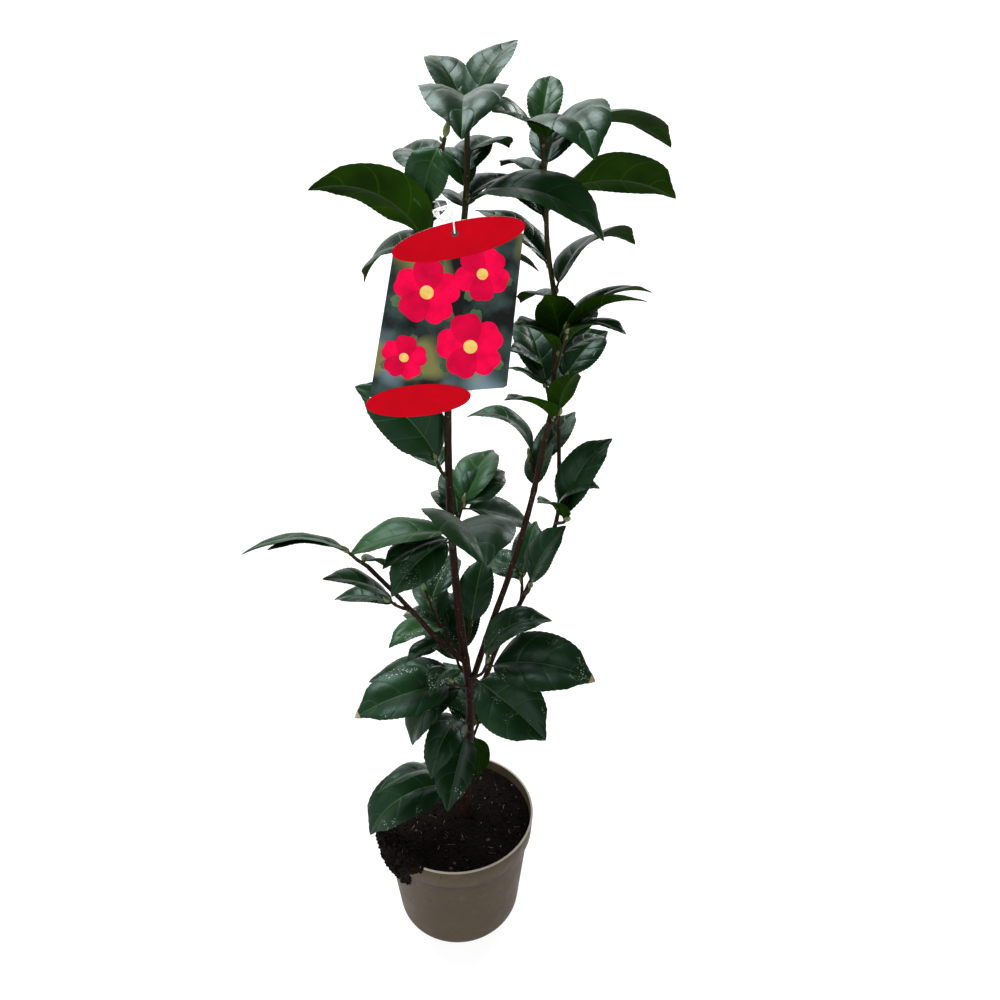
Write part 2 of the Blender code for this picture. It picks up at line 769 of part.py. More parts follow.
def label(paths):
    bm = bmesh.new()
    rings = []
    for depth in (-LABEL_THICKNESS / 2, LABEL_THICKNESS / 2):
        rings.append([bm.verts.new((x, depth, z)) for x, z in label_outline()])
    bridge(bm, rings[0], rings[1])
    bm.faces.new(rings[0])
    bm.faces.new(reversed(rings[1]))
    bmesh.ops.translate(bm, verts=bm.verts, vec=Vector(LABEL_PLACE) * MM)
    card = place("label", bm, "label_card")
    strap = label_strap(paths)
    join = card.modifiers.new("join", "BOOLEAN")
    join.operation = "UNION"
    join.object = strap
    joined = bpy.data.meshes.new_from_object(card.evaluated_get(bpy.context.evaluated_depsgraph_get()))
    card.modifiers.clear()
    card.data = joined
    bpy.data.objects.remove(strap, do_unlink=True)
    return card


def main():
    clear_scene()
    paths = {}
    taken = {}
    for made in (pot(), potting_mix()):
        taken[made.name] = [object_tree(made)]
    for name in LIMBS:
        taken[name] = [object_tree(grow_limb(name, paths))]
    masses = {name: start_mass(name, paths, taken) for name in MASSES}
    taken["label"] = [object_tree(label(paths))]
    for name, (_, pieces) in masses.items():
        add_leaves(name, MASSES[name]["leaves"], pieces, paths, taken)
    for name, (_, pieces) in masses.items():
        add_leaves(name, spare_leaves(name), pieces, paths, taken)
    for stem, pieces in masses.values():
        join_mass(stem, pieces)


main()
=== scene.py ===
"""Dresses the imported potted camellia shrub: leaves, stems, pot, potting mix, tag and stage."""

import json
import math
import random
from collections import namedtuple

import bpy
import numpy as np
from bpy.props import FloatProperty, FloatVectorProperty, IntProperty, PointerProperty
from mathutils import Matrix, Vector, noise
from mathutils.bvhtree import BVHTree

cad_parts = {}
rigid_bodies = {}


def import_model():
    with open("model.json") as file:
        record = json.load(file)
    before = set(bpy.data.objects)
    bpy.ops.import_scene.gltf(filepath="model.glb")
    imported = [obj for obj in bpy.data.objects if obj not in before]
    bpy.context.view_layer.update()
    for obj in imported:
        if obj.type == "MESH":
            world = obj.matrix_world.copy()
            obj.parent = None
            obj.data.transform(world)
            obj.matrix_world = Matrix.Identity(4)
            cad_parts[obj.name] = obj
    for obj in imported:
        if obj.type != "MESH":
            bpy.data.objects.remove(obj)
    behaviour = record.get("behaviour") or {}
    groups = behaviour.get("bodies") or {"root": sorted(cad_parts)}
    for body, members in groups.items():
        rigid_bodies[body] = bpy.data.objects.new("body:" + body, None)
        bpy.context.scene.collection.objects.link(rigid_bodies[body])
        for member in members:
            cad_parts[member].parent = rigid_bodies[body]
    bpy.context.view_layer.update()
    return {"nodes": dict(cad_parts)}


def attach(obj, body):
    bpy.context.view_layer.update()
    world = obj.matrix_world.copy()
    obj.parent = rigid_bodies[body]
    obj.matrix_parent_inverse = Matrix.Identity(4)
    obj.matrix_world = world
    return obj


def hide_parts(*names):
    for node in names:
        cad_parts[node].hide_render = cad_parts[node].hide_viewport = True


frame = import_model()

bl_info = {
    "name": "Potted Camellia Shrub",
    "version": (1, 0, 0),
    "blender": (4, 5, 0),
    "location": "3D View > Sidebar > Camellia",
    "description": "Builds the leaves, stems, pot, potting mix and tag of a young camellia",
    "category": "Add Mesh",
}

MM = 0.001

# Limbs: the points each one bends through, with its radius at the foot and at the tip.
# A limb that names a parent springs from it at the given height.
LIMBS = {
    "trunk": {
        "bends": ((8, 6, 108.4), (12, 5, 190), (14, 3, 250), (8, 0, 320), (3, 0, 400),
                  (2, 0, 480), (5, 0, 556), (9, 0, 590)),
        "radii": (4.2, 2.3), "flare": 1.5,
    },
    "right_bough": {
        "parent": "trunk", "height": 256,
        "bends": ((31, 9, 314), (47, 13, 364), (62, 15, 422), (71, 15, 470), (78, 15, 515),
                  (78, 14, 582)),
        "radii": (2.7, 1.9),
    },
    "outer_right_bough": {
        "parent": "trunk", "height": 222,
        "bends": ((38, 14, 294), (61, 28, 338), (85, 34, 403), (85, 34, 464), (83, 34, 500)),
        "radii": (2.3, 1.5),
    },
    "left_bough": {
        "parent": "trunk", "height": 286,
        "bends": ((-9, -16, 321), (-23, -22, 346), (-37, -30, 372), (-56, -43, 407)),
        "radii": (2.3, 1.6),
    },
}

# A leaf: its place along its stem as a share, the azimuth and rise of its line from stalk to tip
# in degrees, the length of that line, its roll, its breadth as a factor and its blade's arch.
Leaf = namedtuple("Leaf", "at azimuth rise reach roll broad arch", defaults=(0, 1, 50))


def mass(parent, height, radii, spare, bends, *leaves):
    """A mass of foliage: one stem and the leaves along it, as rows of a leaf's values.

    The stem springs from its parent's side at the height, or grows on from its tip for None.
    spare is a number of further leaves, which a seeded rule deals round the back.
    """
    made = {"parent": parent, "radii": radii, "spare": spare, "bends": bends,
            "leaves": [Leaf(*row) for row in leaves]}
    if height is not None:
        made["height"] = height
    return made


MASSES = {
    "crown_left": mass(
        "trunk", None, (2.3, 1.7), 2, ((12, 0, 608), (18, -2, 652), (20, -6, 701)),
        (0.98, 120, 35, 60), (0.98, 50, 42, 64), (0.95, 270, -1, 83, 0, 1.2, 95), (0.68, 80, 20, 50),
        (0.60, 110, 30, 47), (0.56, 50, 5, 60), (0.54, 337, -10, 93, 15, 1.0, 85), (0.25, 25, -15, 60)),
    "upper_left": mass(
        "trunk", 545, (1.7, 1.3), 1, ((0, -12, 580), (-4, -24, 625), (0, -25, 660), (7, -20, 690)),
        (0.53, 198, 31, 83, 37, 1.1, 94), (0.56, 145, -25, 64, -25, 1.0, 80),
        (0.98, 218, -68, 40, -44, 1.35, 60), (0.82, 115, 15, 60, -20)),
    "crown_right": mass(
        "right_bough", None, (1.9, 1.4), 2, ((71, 13, 622), (69, 12, 660), (65, 10, 689)),
        (0.98, 230, 20, 50, -30, 1.1), (0.98, 80, 40, 54, 0, 0.85), (0.93, 290, 0, 76, 15, 1.15, 110),
        (0.92, 23, -1, 95, -5, 1.13, 75), (0.75, 125, 5, 50), (0.65, 13, -2, 90, -35, 1.1, 58),
        (0.22, 150, 30, 68), (0.06, 35, 20, 76, -20, 1.0, 110), (0.03, 120, -15, 47)),
    "right_middle": mass(
        "right_bough", 533, (1.5, 1.1), 1, ((81, 2, 550), (82, -6, 561), (83, -10, 569)),
        (0.50, 235, 65, 50, 30, 1.2), (0.95, 20, 20, 68, -10, 0.9, 80), (0.85, 335, 30, 64, -20, 0.9, 70),
        (0.75, 50, 25, 45, 30, 0.9, 40), (0.50, 315, 25, 60, 0, 0.9, 90), (0.40, 35, 10, 43),
        (0.45, 225, 35, 54, -15)),
    "right_front": mass(
        "right_bough", 490, (1.4, 1.1), 0, ((79, 7, 498), (81, 1, 506)),
        (0.60, 218, 30, 54, 10, 1.1), (0.90, 300, 60, 46, -10)),
    "right_back": mass(
        "right_bough", 506, (1.4, 1.1), 3, ((74, 24, 517), (69, 32, 530)),
        (0.90, 225, 35, 42, -25), (0.50, 205, 30, 40, 0, 0.5)),
    "outer_right_tip": mass(
        "outer_right_bough", None, (1.5, 1.1), 2, ((85, 36, 510), (88, 38, 519)),
        (0.90, 40, 35, 54, 30)),
    "right_lower": mass(
        "right_bough", 434, (1.4, 1.1), 0, ((66, 24, 442), (63, 37, 456)),
        (0.92, 172, 34, 60, 0, 0.95, 125), (0.12, 74, 25, 55, -27, 0.95, 55),
        (0.60, 57, 24, 72, 0, 0.75, 30)),
    "outer_right_middle": mass(
        "outer_right_bough", 400, (1.4, 1.1), 1, ((89, 22, 407), (91, 12, 415)),
        (0.85, 30, 56, 73, 16, 0.9, 75), (0.90, 335, 52, 42, 10, 1.3, 130), (0.80, 230, 40, 47)),
    "outer_right_low": mass(
        "outer_right_bough", 335, (1.4, 1.1), 0, ((63, 20, 344), (64, 14, 352)),
        (0.90, 20, 60, 60, 10, 1.1, 40)),
    "outer_right_rear": mass(
        "outer_right_bough", 330, (1.4, 1.1), 1, ((58, 33, 337), (58, 40, 345)),
        (0.80, 135, 5, 48, -15, 1.2), (0.90, 70, 45, 52)),
    "centre_upper": mass(
        "trunk", 455, (1.4, 1.1), 2, ((-3, -5, 464), (-6, -8, 474)),
        (0.60, 170, 45, 85, -50, 1.05, 60)),
    "centre_back": mass(
        "trunk", 408, (1.4, 1.1), 2, ((8, 9, 418), (11, 16, 427)),
        (0.80, 50, 15, 54, 20, 1.2), (0.85, 23, -25, 67, 19, 0.95, 24), (0.50, 115, 5, 47)),
    "centre_front": mass(
        "trunk", 396, (1.5, 1.1), 0, ((4, -10, 409), (6, -17, 423)),
        (0.95, 287, 12, 86, -15, 1.55, 80), (0.50, 225, -20, 64, -40, 1.0, 60), (0.80, 195, -5, 78),
        (0.60, 215, -5, 60)),
    "left_tip": mass(
        "left_bough", None, (1.6, 1.1), 0, ((-62, -46, 414), (-67, -48, 421)),
        (0.95, 200, 11, 74, 20, 0.9, 60), (0.85, 205, 18, 60, 10, 0.9, 60), (0.30, 65, -35, 36)),
    "left_inner": mass(
        "left_bough", 356, (1.4, 1.1), 0, ((-37, -34, 366), (-42, -39, 374)),
        (0.80, 205, 35, 62), (0.60, 170, 0, 50, 0, 1.0, 60)),
    "middle_left": mass(
        "trunk", 292, (1.5, 1.1), 2, ((-2, 7, 304), (-12, 10, 322), (-21, 12, 350)),
        (0.45, 135, -10, 49, -10), (0.40, 220, 10, 54, 0, 1.0, 80), (0.25, 212, -5, 42)),
    "inner_left": mass(
        "trunk", 270, (1.4, 1.1), 2, ((5, 7, 278), (3, 14, 287)),
        (0.90, 110, 35, 62, 0, 1.1, 30)),
    "inner_right": mass(
        "trunk", 300, (1.4, 1.1), 1, ((14, 8, 308), (16, 15, 316)),
        (0.80, 75, 48, 62, 0, 1.0, 30)),
    "foot_left": mass(
        "trunk", 258, (1.6, 1.1), 1, ((7, -7, 267), (1, -13, 277)),
        (0.70, 203, -3, 88, -15, 1.1, 40), (0.95, 250, 25, 50, 0, 0.9, 120),
        (0.50, 172, -3, 80, 0, 1.0, 60), (0.23, 210, -38, 65, -10, 1.0, 105)),
    "foot_right": mass(
        "trunk", 268, (1.6, 1.1), 1, ((24, -8, 281), (29, -13, 296)),
        (0.80, 342, 6, 92, 26, 1.15, 55), (0.95, 5, 37, 66, 8, 1.05, 115),
        (0.20, 321, -18, 80, 30, 1.35, 20)),
    "low_left": mass(
        "trunk", 206, (1.5, 1.1), 0, ((10, -3, 217), (8, -8, 229)),
        (0.88, 247, -6, 61, -22, 0.95, 135), (0.30, 257, -24, 71, 16, 1.05, 25)),
    "low_back": mass(
        "trunk", 190, (1.5, 1.1), 3, ((17, 12, 199), (21, 17, 207)),
        (0.43, 61, -85, 56, -8, 0.75, 56)),
    "lowest_left": mass(
        "trunk", 134, (1.5, 1.1), 0, ((0, 1, 143), (-9, -5, 152)),
        (0.95, 212, 23, 71, 18, 0.85, 115), (0.55, 205, -14, 84, -20, 1.1, 115)),
}
# Spare leaves, by the solids' rule: seed, reach in mm, rise in degrees, how far they turn from
# the back in degrees, and where on their stem they start and how much of it they take.
SPARE_SEED = 31
SPARE_REACH = (50, 72)
SPARE_RISE = (-5, 35)
SPARE_SPREAD = 40
SPARE_FROM = 0.35
SPARE_SPAN = 0.6

# Shape of a leaf, as in the solids: its width to its length, its stalk's share, how its width
# rises and falls along the blade, and where, over which span and how much its tip is drawn out.
LEAF_WIDTH_RATIO = 0.50
LEAF_STALK = 0.10
LEAF_WIDTH_POWERS = (0.62, 0.80)
LEAF_TIP_FROM = 0.80
LEAF_TIP_SPAN = 0.15
LEAF_TIP_PINCH = 0.30
# A leaf is grown where its middle lies this close to its mass's solid, in mm.
LEAF_HOLD = 4.5
# Columns of points across a blade, as shares of its half width; None is the midrib's edge.
BLADE_COLUMNS = (-1.0, -0.74, -0.48, -0.24, None, None, 0.24, 0.48, 0.74, 1.0)

# Slots of the leaves' finishes. 0 and 1 are the upper sides of grown leaves.
FRESH_TOP, UNDERSIDE, MIDRIB, KEEL, DRY_TIP = 2, 3, 4, 5, 6
# Leaves shorter than this, in mm, are fresh ones. Those rooted over a height, in metres, are
# joined in the upper piece.
FRESH_REACH = 42
UPPER_FROM = 0.47
# Tips that have dried: on leaves rooted low, in metres, if they are long, in mm, or by chance.
DRY_BELOW = 0.40
DRY_REACH = 90
DRY_CHANCE = 0.06
DRY_STEPS = 2
# Dried water marks fade out towards this height, in metres.
MARKS_BELOW = 0.42

# Stems: how deep the trunk's foot stands in the mix, in mm, the share of its length that flares,
# and how much thicker a stem is where it leaves its parent.
TRUNK_SUNK = 5
FLARE_SHARE = 0.06
FORK_COLLAR = 0.25
STALK_STEPS = 10
AXIL_BUD_CHANCE = 0.55
# Heights, in metres, between which the bark of boughs and of twigs turns young and green.
BOUGH_GREENS = (0.42, 0.60)
TWIG_GREENS = (0.30, 0.62)

# Pot and mix: height of the step under the band in mm, faces of the mix's top, and the spilled
# clump's place round the rim, with its half width, in degrees.
BAND_STEP_HEIGHT = 1.2
MIX_SIDES = 120
MIX_RINGS = 30
SPILL_AZIMUTH = 217
SPILL_SPREAD = 30

# Fixed tints, of a leaf's waxy sheen first.
WAX_TINT = (0.70, 0.97, 0.90, 1.0)
MARK_TINT = (0.42, 0.46, 0.42, 1.0)
DRY_TIP_COLOURS = ((0.16, 0.12, 0.07, 1.0), (0.34, 0.28, 0.19, 1.0))
PORE_COLOUR = (0.16, 0.11, 0.07, 1.0)
SOIL_FLECK = (0.020, 0.014, 0.010, 1.0)
# Colour of the painted shade in the crease under the pot's band.
CREASE_SHADE_PAINT = (0.018, 0.013, 0.009, 1.0)
# Colour of the painted highlight along the top of the pot's brim.
BRIM_HIGHLIGHT_PAINT = (0.42, 0.385, 0.33, 1.0)

# The card tag, in mm: its centre, the corners of the card, the ovals across its head and foot as
# (centre x, centre z, half width, half height, turn), and its hole.
TAG_PLACE = (9, -47, 591)
TAG_CORNERS = ((-32.5, 40), (-53.5, -54), (35, -47), (44.5, 50))
TAG_BANDS = ((5.8, 45.3, 40.4, 10.4, 12), (-22.3, -55.8, 34.2, 10.8, 6))
TAG_HOLE = (4, 49)
TAG_HOLE_RADIUS = 2.1
# Its print: slots of its finishes, blossoms as (centre, size, turn in radians), and the blotches
# of its ground as (scale, threshold, tint).
# The last of these slots is painted shade: the hole is not cut, and a near-black disc stands for its
# opening.
TAG_CARD, TAG_GROUND, TAG_BAND, TAG_PETAL, TAG_PETAL_SHADE, TAG_STAMENS, TAG_LEAF, TAG_HOLE_SHADE = range(8)
BLOSSOMS = (((-14, 14), 21, 0.2), ((20, 25), 17, 0.9), ((12, -20), 22, 0.5), ((-30, -27), 15, 0.1))
PRINT_BLOTCHES = ((34.0, 0.54, (0.21, 0.20, 0.06, 1.0)), (27.0, 0.56, (0.20, 0.28, 0.34, 1.0)))
# The loop starts this far before the card's middle, and is tied round a twig at this height.
STRAP_FRONT = -1.6
STRAP_HEIGHT = 651

# The camera stands before the pot, in metres, and looks down by its pitch in degrees.
CAMERA_PLACE = (0.0396, -0.565, 0.730)
CAMERA_PITCH = 27.3
CAMERA_LENS = 30.6
CAMERA_SENSOR = 36


class LeafSettings(bpy.types.PropertyGroup):
    """Sizes and colours of the leaf blades"""

    thickness: FloatProperty(
        name="Blade Thickness", description="Thickness of a blade at its midrib",
        default=0.55 * MM, min=0.2 * MM, max=1 * MM, unit="LENGTH")
    fold: FloatProperty(
        name="Fold", description="Rise of the blade's edges over its midrib, to its half width",
        default=0.20, min=0, max=0.6)
    crown: FloatProperty(
        name="Crown", description="How far each half of the blade swells up between rib and edge",
        default=0.13, min=0, max=0.3)
    wave: FloatProperty(
        name="Edge Wave", description="Height of the slow waves along the edges",
        default=0.9 * MM, min=0, max=3 * MM, unit="LENGTH")
    tooth: FloatProperty(
        name="Tooth Depth", description="Depth of the notches between the teeth of the edge",
        default=0.45 * MM, min=0, max=1 * MM, unit="LENGTH")
    stations: IntProperty(
        name="Stations", description="Rows of faces along a blade", default=40, min=12, max=60)
    rib_width: FloatProperty(
        name="Midrib Width", description="Width of the midrib at the blade's foot",
        default=1.0 * MM, min=0.3 * MM, max=2 * MM, unit="LENGTH")
    top_colour: FloatVectorProperty(
        name="Top", description="Upper side of a grown leaf", subtype="COLOR",
        default=(0.004, 0.017, 0.004), min=0, max=1)
    fresh_colour: FloatVectorProperty(
        name="Fresh Top", description="Upper side of a younger leaf", subtype="COLOR",
        default=(0.008, 0.032, 0.006), min=0, max=1)
    under_colour: FloatVectorProperty(
        name="Underside", description="Lower side of a leaf", subtype="COLOR",
        default=(0.006, 0.020, 0.0005), min=0, max=1)
    rib_colour: FloatVectorProperty(
        name="Midrib", description="The midrib, seen from above", subtype="COLOR",
        default=(0.04, 0.09, 0.025), min=0, max=1)


class StemSettings(bpy.types.PropertyGroup):
    """Sizes and colours of the trunk, boughs, twigs and buds"""

    sides: IntProperty(
        name="Sides", description="Faces round the trunk and boughs", default=20, min=6, max=48)
    twig_sides: IntProperty(
        name="Twig Sides", description="Faces round a twig or leaf stalk", default=8, min=4, max=24)
    relief: FloatProperty(
        name="Bark Relief", description="Height of the bark's wrinkles",
        default=0.55 * MM, min=0, max=2 * MM, unit="LENGTH")
    swelling: FloatProperty(
        name="Node Swelling", description="How much thicker a stem is at its old leaf joints",
        default=0.16, min=0, max=0.6)
    bud_length: FloatProperty(
        name="Bud Length", description="Length of the bud at the tip of a twig",
        default=10 * MM, min=3 * MM, max=20 * MM, unit="LENGTH")
    bark_colour: FloatVectorProperty(
        name="Old Bark", description="Bark of the trunk and boughs", subtype="COLOR",
        default=(0.015, 0.006, 0.004), min=0, max=1)
    young_colour: FloatVectorProperty(
        name="Young Bark", description="Skin of this year's shoots", subtype="COLOR",
        default=(0.024, 0.022, 0.008), min=0, max=1)
    bud_colour: FloatVectorProperty(
        name="Bud", description="Scales of the buds", subtype="COLOR",
        default=(0.070, 0.100, 0.022), min=0, max=1)


class PotSettings(bpy.types.PropertyGroup):
    """Sizes and colours of the nursery pot"""

    height: FloatProperty(
        name="Height", description="Height of the pot", default=118 * MM, unit="LENGTH")
    rim_radius: FloatProperty(
        name="Rim Radius", description="Outer radius of the rim", default=70 * MM, unit="LENGTH")
    wall_top_radius: FloatProperty(
        name="Wall Top Radius", description="Outer radius of the wall just below the band",
        default=66.0 * MM, unit="LENGTH")
    base_radius: FloatProperty(
        name="Base Radius", description="Radius that the wall's taper has at the underside",
        default=55.3 * MM, unit="LENGTH")
    band_depth: FloatProperty(
        name="Band Depth", description="Height of the upright band below the rim",
        default=20 * MM, unit="LENGTH")
    band_step: FloatProperty(
        name="Band Step", description="How far the band stands out of the wall",
        default=2.6 * MM, unit="LENGTH")
    edge_radius: FloatProperty(
        name="Edge Radius", description="Rounding between the wall and the underside",
        default=14 * MM, unit="LENGTH")
    wall: FloatProperty(
        name="Wall", description="Thickness of the wall", default=2 * MM, unit="LENGTH")
    sides: IntProperty(name="Sides", description="Faces round the pot", default=144, min=24, max=288)
    colour: FloatVectorProperty(
        name="Plastic", description="Moulded plastic", subtype="COLOR",
        default=(0.060, 0.043, 0.026), min=0, max=1)
    dust_colour: FloatVectorProperty(
        name="Dust", description="Dried dust and scuffs", subtype="COLOR",
        default=(0.135, 0.108, 0.072), min=0, max=1)


class MixSettings(bpy.types.PropertyGroup):
    """Sizes, amounts and colours of the potting mix"""

    level: FloatProperty(
        name="Level", description="Height of the mix over the underside",
        default=108 * MM, unit="LENGTH")
    roughness: FloatProperty(
        name="Unevenness", description="Height of the lumps of its top",
        default=2.6 * MM, min=0, max=6 * MM, unit="LENGTH")
    grain_size: FloatProperty(
        name="Grain Size", description="Radius of the largest grains",
        default=1.7 * MM, min=0.3 * MM, max=4 * MM, unit="LENGTH")
    grain_density: FloatProperty(
        name="Grain Density", description="Grains on each square metre", default=170000, min=0)
    perlite_density: FloatProperty(
        name="Perlite Density", description="White grains on each square metre",
        default=2600, min=0)
    fibre_density: FloatProperty(
        name="Fibre Density", description="Fine roots and fibres on each square metre",
        default=6500, min=0)
    spill: FloatProperty(
        name="Spill", description="How far the spilled clump stands off the wall",
        default=8.5 * MM, min=1 * MM, max=12 * MM, unit="LENGTH")
    seed: IntProperty(name="Seed", description="Seed of the grains' places", default=7)
    colour: FloatVectorProperty(
        name="Peat", description="Moist peat and bark fines", subtype="COLOR",
        default=(0.0018, 0.0012, 0.0008), min=0, max=1)
    chip_colour: FloatVectorProperty(
        name="Bark Chips", description="Red-brown chips in the mix", subtype="COLOR",
        default=(0.038, 0.014, 0.007), min=0, max=1)
    perlite_colour: FloatVectorProperty(
        name="Perlite", description="White grains", subtype="COLOR",
        default=(0.60, 0.58, 0.52), min=0, max=1)
    fibre_colour: FloatVectorProperty(
        name="Fibres", description="Fine pale roots", subtype="COLOR",
        default=(0.40, 0.33, 0.21), min=0, max=1)


class TagSettings(bpy.types.PropertyGroup):
    """Sizes and colours of the card tag"""

    thickness: FloatProperty(
        name="Card Thickness", description="Thickness of the card",
        default=0.7 * MM, min=0.2 * MM, max=1.1 * MM, unit="LENGTH")
    layer: FloatProperty(
        name="Ink Step", description="How far each printed shape lies over the one below it",
        default=0.03 * MM, min=0.01 * MM, max=0.1 * MM, unit="LENGTH")
    strap_radius: FloatProperty(
        name="Strap Radius", description="Radius of the white loop",
        default=0.5 * MM, min=0.3 * MM, max=1.2 * MM, unit="LENGTH")
    band_colour: FloatVectorProperty(
        name="Bands", description="Ovals across the head and the foot", subtype="COLOR",
        default=(0.52, 0.0005, 0.008), min=0, max=1)
    petal_colour: FloatVectorProperty(
        name="Petals", description="Printed blossoms", subtype="COLOR",
        default=(0.80, 0.001, 0.055), min=0, max=1)
    ground_colour: FloatVectorProperty(
        name="Ground", description="Dark foliage printed behind the blossoms", subtype="COLOR",
        default=(0.022, 0.040, 0.036), min=0, max=1)
    strap_colour: FloatVectorProperty(
        name="Strap", description="White plastic loop", subtype="COLOR",
        default=(0.92, 0.92, 0.91), min=0, max=1)


class StageSettings(bpy.types.PropertyGroup):
    """Floor, lights and camera"""

    floor_colour: FloatVectorProperty(
        name="Floor", description="Plain floor", subtype="COLOR",
        default=(0.22, 0.22, 0.22), min=0, max=1)
    floor_glow: FloatProperty(
        name="Floor Glow", description="Light that the floor gives off by itself",
        default=0.88, min=0)
    floor_radius: FloatProperty(
        name="Floor Radius", description="Radius of the round floor", default=2.8, min=2, unit="LENGTH")
    floor_bend: FloatProperty(
        name="Floor Bend", description="Radius of the curve that the floor rises in at its edge",
        default=1.3, min=0.5, unit="LENGTH")
    sky: FloatProperty(name="Sky", description="Strength of the even light", default=0.10, min=0)
    key: FloatProperty(
        name="Key Light", description="Power of the large soft light over the plant",
        default=240, min=0, unit="POWER")
    rim: FloatProperty(
        name="Rim Light", description="Power of the light from behind on the right",
        default=16, min=0, unit="POWER")
    back: FloatProperty(
        name="Back Light", description="Power of the soft light behind, which the low leaves mirror",
        default=10, min=0, unit="POWER")
    side: FloatProperty(
        name="Front Light", description="Power of the soft light from the front left",
        default=7, min=0, unit="POWER")


# ---------------------------------------------------------------- growing rule


def direction(azimuth, rise):
    """The way that an azimuth and a rise over level point, in degrees."""
    turn, lift = math.radians(azimuth), math.radians(rise)
    return Vector((math.cos(lift) * math.cos(turn), math.cos(lift) * math.sin(turn), math.sin(lift)))


def smooth_path(points, steps):
    """Points along a Catmull-Rom curve through the given ones."""
    path = [points[0] * 2 - points[1], *points, points[-1] * 2 - points[-2]]
    made = [points[0]]
    for before, start, end, after in zip(path, path[1:], path[2:], path[3:]):
        for step in range(1, steps + 1):
            t = step / steps
            made.append(0.5 * (2 * start + (end - before) * t
                               + (2 * before - 5 * start + 4 * end - after) * t ** 2
                               + (3 * start - before - 3 * end + after) * t ** 3))
    return made


def distances(path):
    """Length along a path at each of its points, in metres."""
    reach = [0.0]
    for start, end in zip(path, path[1:]):
        reach.append(reach[-1] + (end - start).length)
    return reach


def point_along(path, share):
    """The point at a share of a path's length."""
    marks = distances(path)
    wanted = share * marks[-1]
    for index in range(len(marks) - 1):
        if wanted <= marks[index + 1]:
            part = (wanted - marks[index]) / (marks[index + 1] - marks[index])
            return path[index].lerp(path[index + 1], part)
    return path[-1]


def point_at_height(path, height):
    """The point on a limb's axis at a height, and its share of the limb's length."""
    marks = distances(path)
    for index in range(len(path) - 1):
        start, end = path[index], path[index + 1]
        if start.z <= height <= end.z:
            part = (height - start.z) / (end.z - start.z)
            share = (marks[index] + (marks[index + 1] - marks[index]) * part) / marks[-1]
            return start.lerp(end, part), share
    return path[-1], 1.0


def grow_path(limb, paths, steps):
    """A limb's axis. It starts inside its parent, so that the two grow together."""
    bends = [Vector(bend) * MM for bend in limb["bends"]]
    if "parent" not in limb:
        return smooth_path(bends, steps)
    parent_path = paths[limb["parent"]]
    if "height" in limb:
        root, _ = point_at_height(parent_path, limb["height"] * MM)
    else:
        root = parent_path[-1]
    return smooth_path([root, *bends], steps)


def spare_leaves(name):
    """Leaves for the back of a mass, spread evenly up its stem."""
    draw = random.Random(SPARE_SEED + list(MASSES).index(name))
    count = MASSES[name]["spare"]
    rows = []
    for number in range(count):
        at = SPARE_FROM + SPARE_SPAN * (number + 0.5) / count
        side = SPARE_SPREAD * (-1 if number % 2 else 1) * draw.uniform(0.2, 1.0)
        rows.append(Leaf(at, 90 + side, draw.uniform(*SPARE_RISE), draw.uniform(*SPARE_REACH)))
    return rows


def leaf_width(share):
    """Half width of the blade from its foot at 0 to its tip at 1, as a share of the widest."""
    rising, falling = LEAF_WIDTH_POWERS
    peak = rising / (rising + falling)
    full = (share / peak) ** rising * ((1 - share) / (1 - peak)) ** falling
    drawn_out = min(1.0, max(0.0, (share - LEAF_TIP_FROM) / LEAF_TIP_SPAN))
    return full * (1 - LEAF_TIP_PINCH * drawn_out * (2 - drawn_out))


def leaf_frames(row, shares):
    """Centre line points for a chord of 1 along the given direction, with side and up axes."""
    steps = 24
    flat = [Vector((0.0, 0.0))]
    for step in range(steps):
        pitch = math.radians(row.arch) * (0.5 - (step + 0.5) / steps)
        flat.append(flat[-1] + Vector((math.cos(pitch), math.sin(pitch))) / steps)
    chord = flat[-1].x
    frames = []
    ahead = direction(row.azimuth, row.rise)
    side = direction(row.azimuth + 90, 0)
    up = ahead.cross(side)
    for share in shares:
        place_in = share * steps
        index = min(int(place_in), steps - 1)
        spot = flat[index].lerp(flat[index + 1], place_in - index) / chord
        pitch = math.radians(row.arch) * (0.5 - share)
        tangent = ahead * math.cos(pitch) + up * math.sin(pitch)
        normal = up * math.cos(pitch) - ahead * math.sin(pitch)
        turn = Matrix.Rotation(math.radians(row.roll) * min(1.0, share * 3), 3, tangent)
        frames.append((ahead * spot.x + up * spot.y, turn @ side, turn @ normal))
    return frames


def node_tree_of(name):
    """A search tree over the faces of one of the plant's solids."""
    mesh = frame["nodes"][name].data
    points = [vertex.co for vertex in mesh.vertices]
    return BVHTree.FromPolygons(points, [tuple(face.vertices) for face in mesh.polygons])


def grow_plant():
    """Axes of every limb and stem, and the leaves of every mass that its solid holds."""
    paths = {}
    for name, limb in LIMBS.items():
        paths[name] = grow_path(limb, paths, 12)
    leaves = []
    for name, foliage in MASSES.items():
        paths[name] = grow_path(foliage, paths, 8)
        solid = node_tree_of(name)
        for row in [*foliage["leaves"], *spare_leaves(name)]:
            root = point_along(paths[name], row.at)
            (middle, _, _), = leaf_frames(row, [0.5])
            _, _, _, apart = solid.find_nearest(root + middle * row.reach * MM)
            if apart < LEAF_HOLD * MM:
                leaves.append((name, root, row))
    return paths, leaves


# ---------------------------------------------------------------- mesh helpers


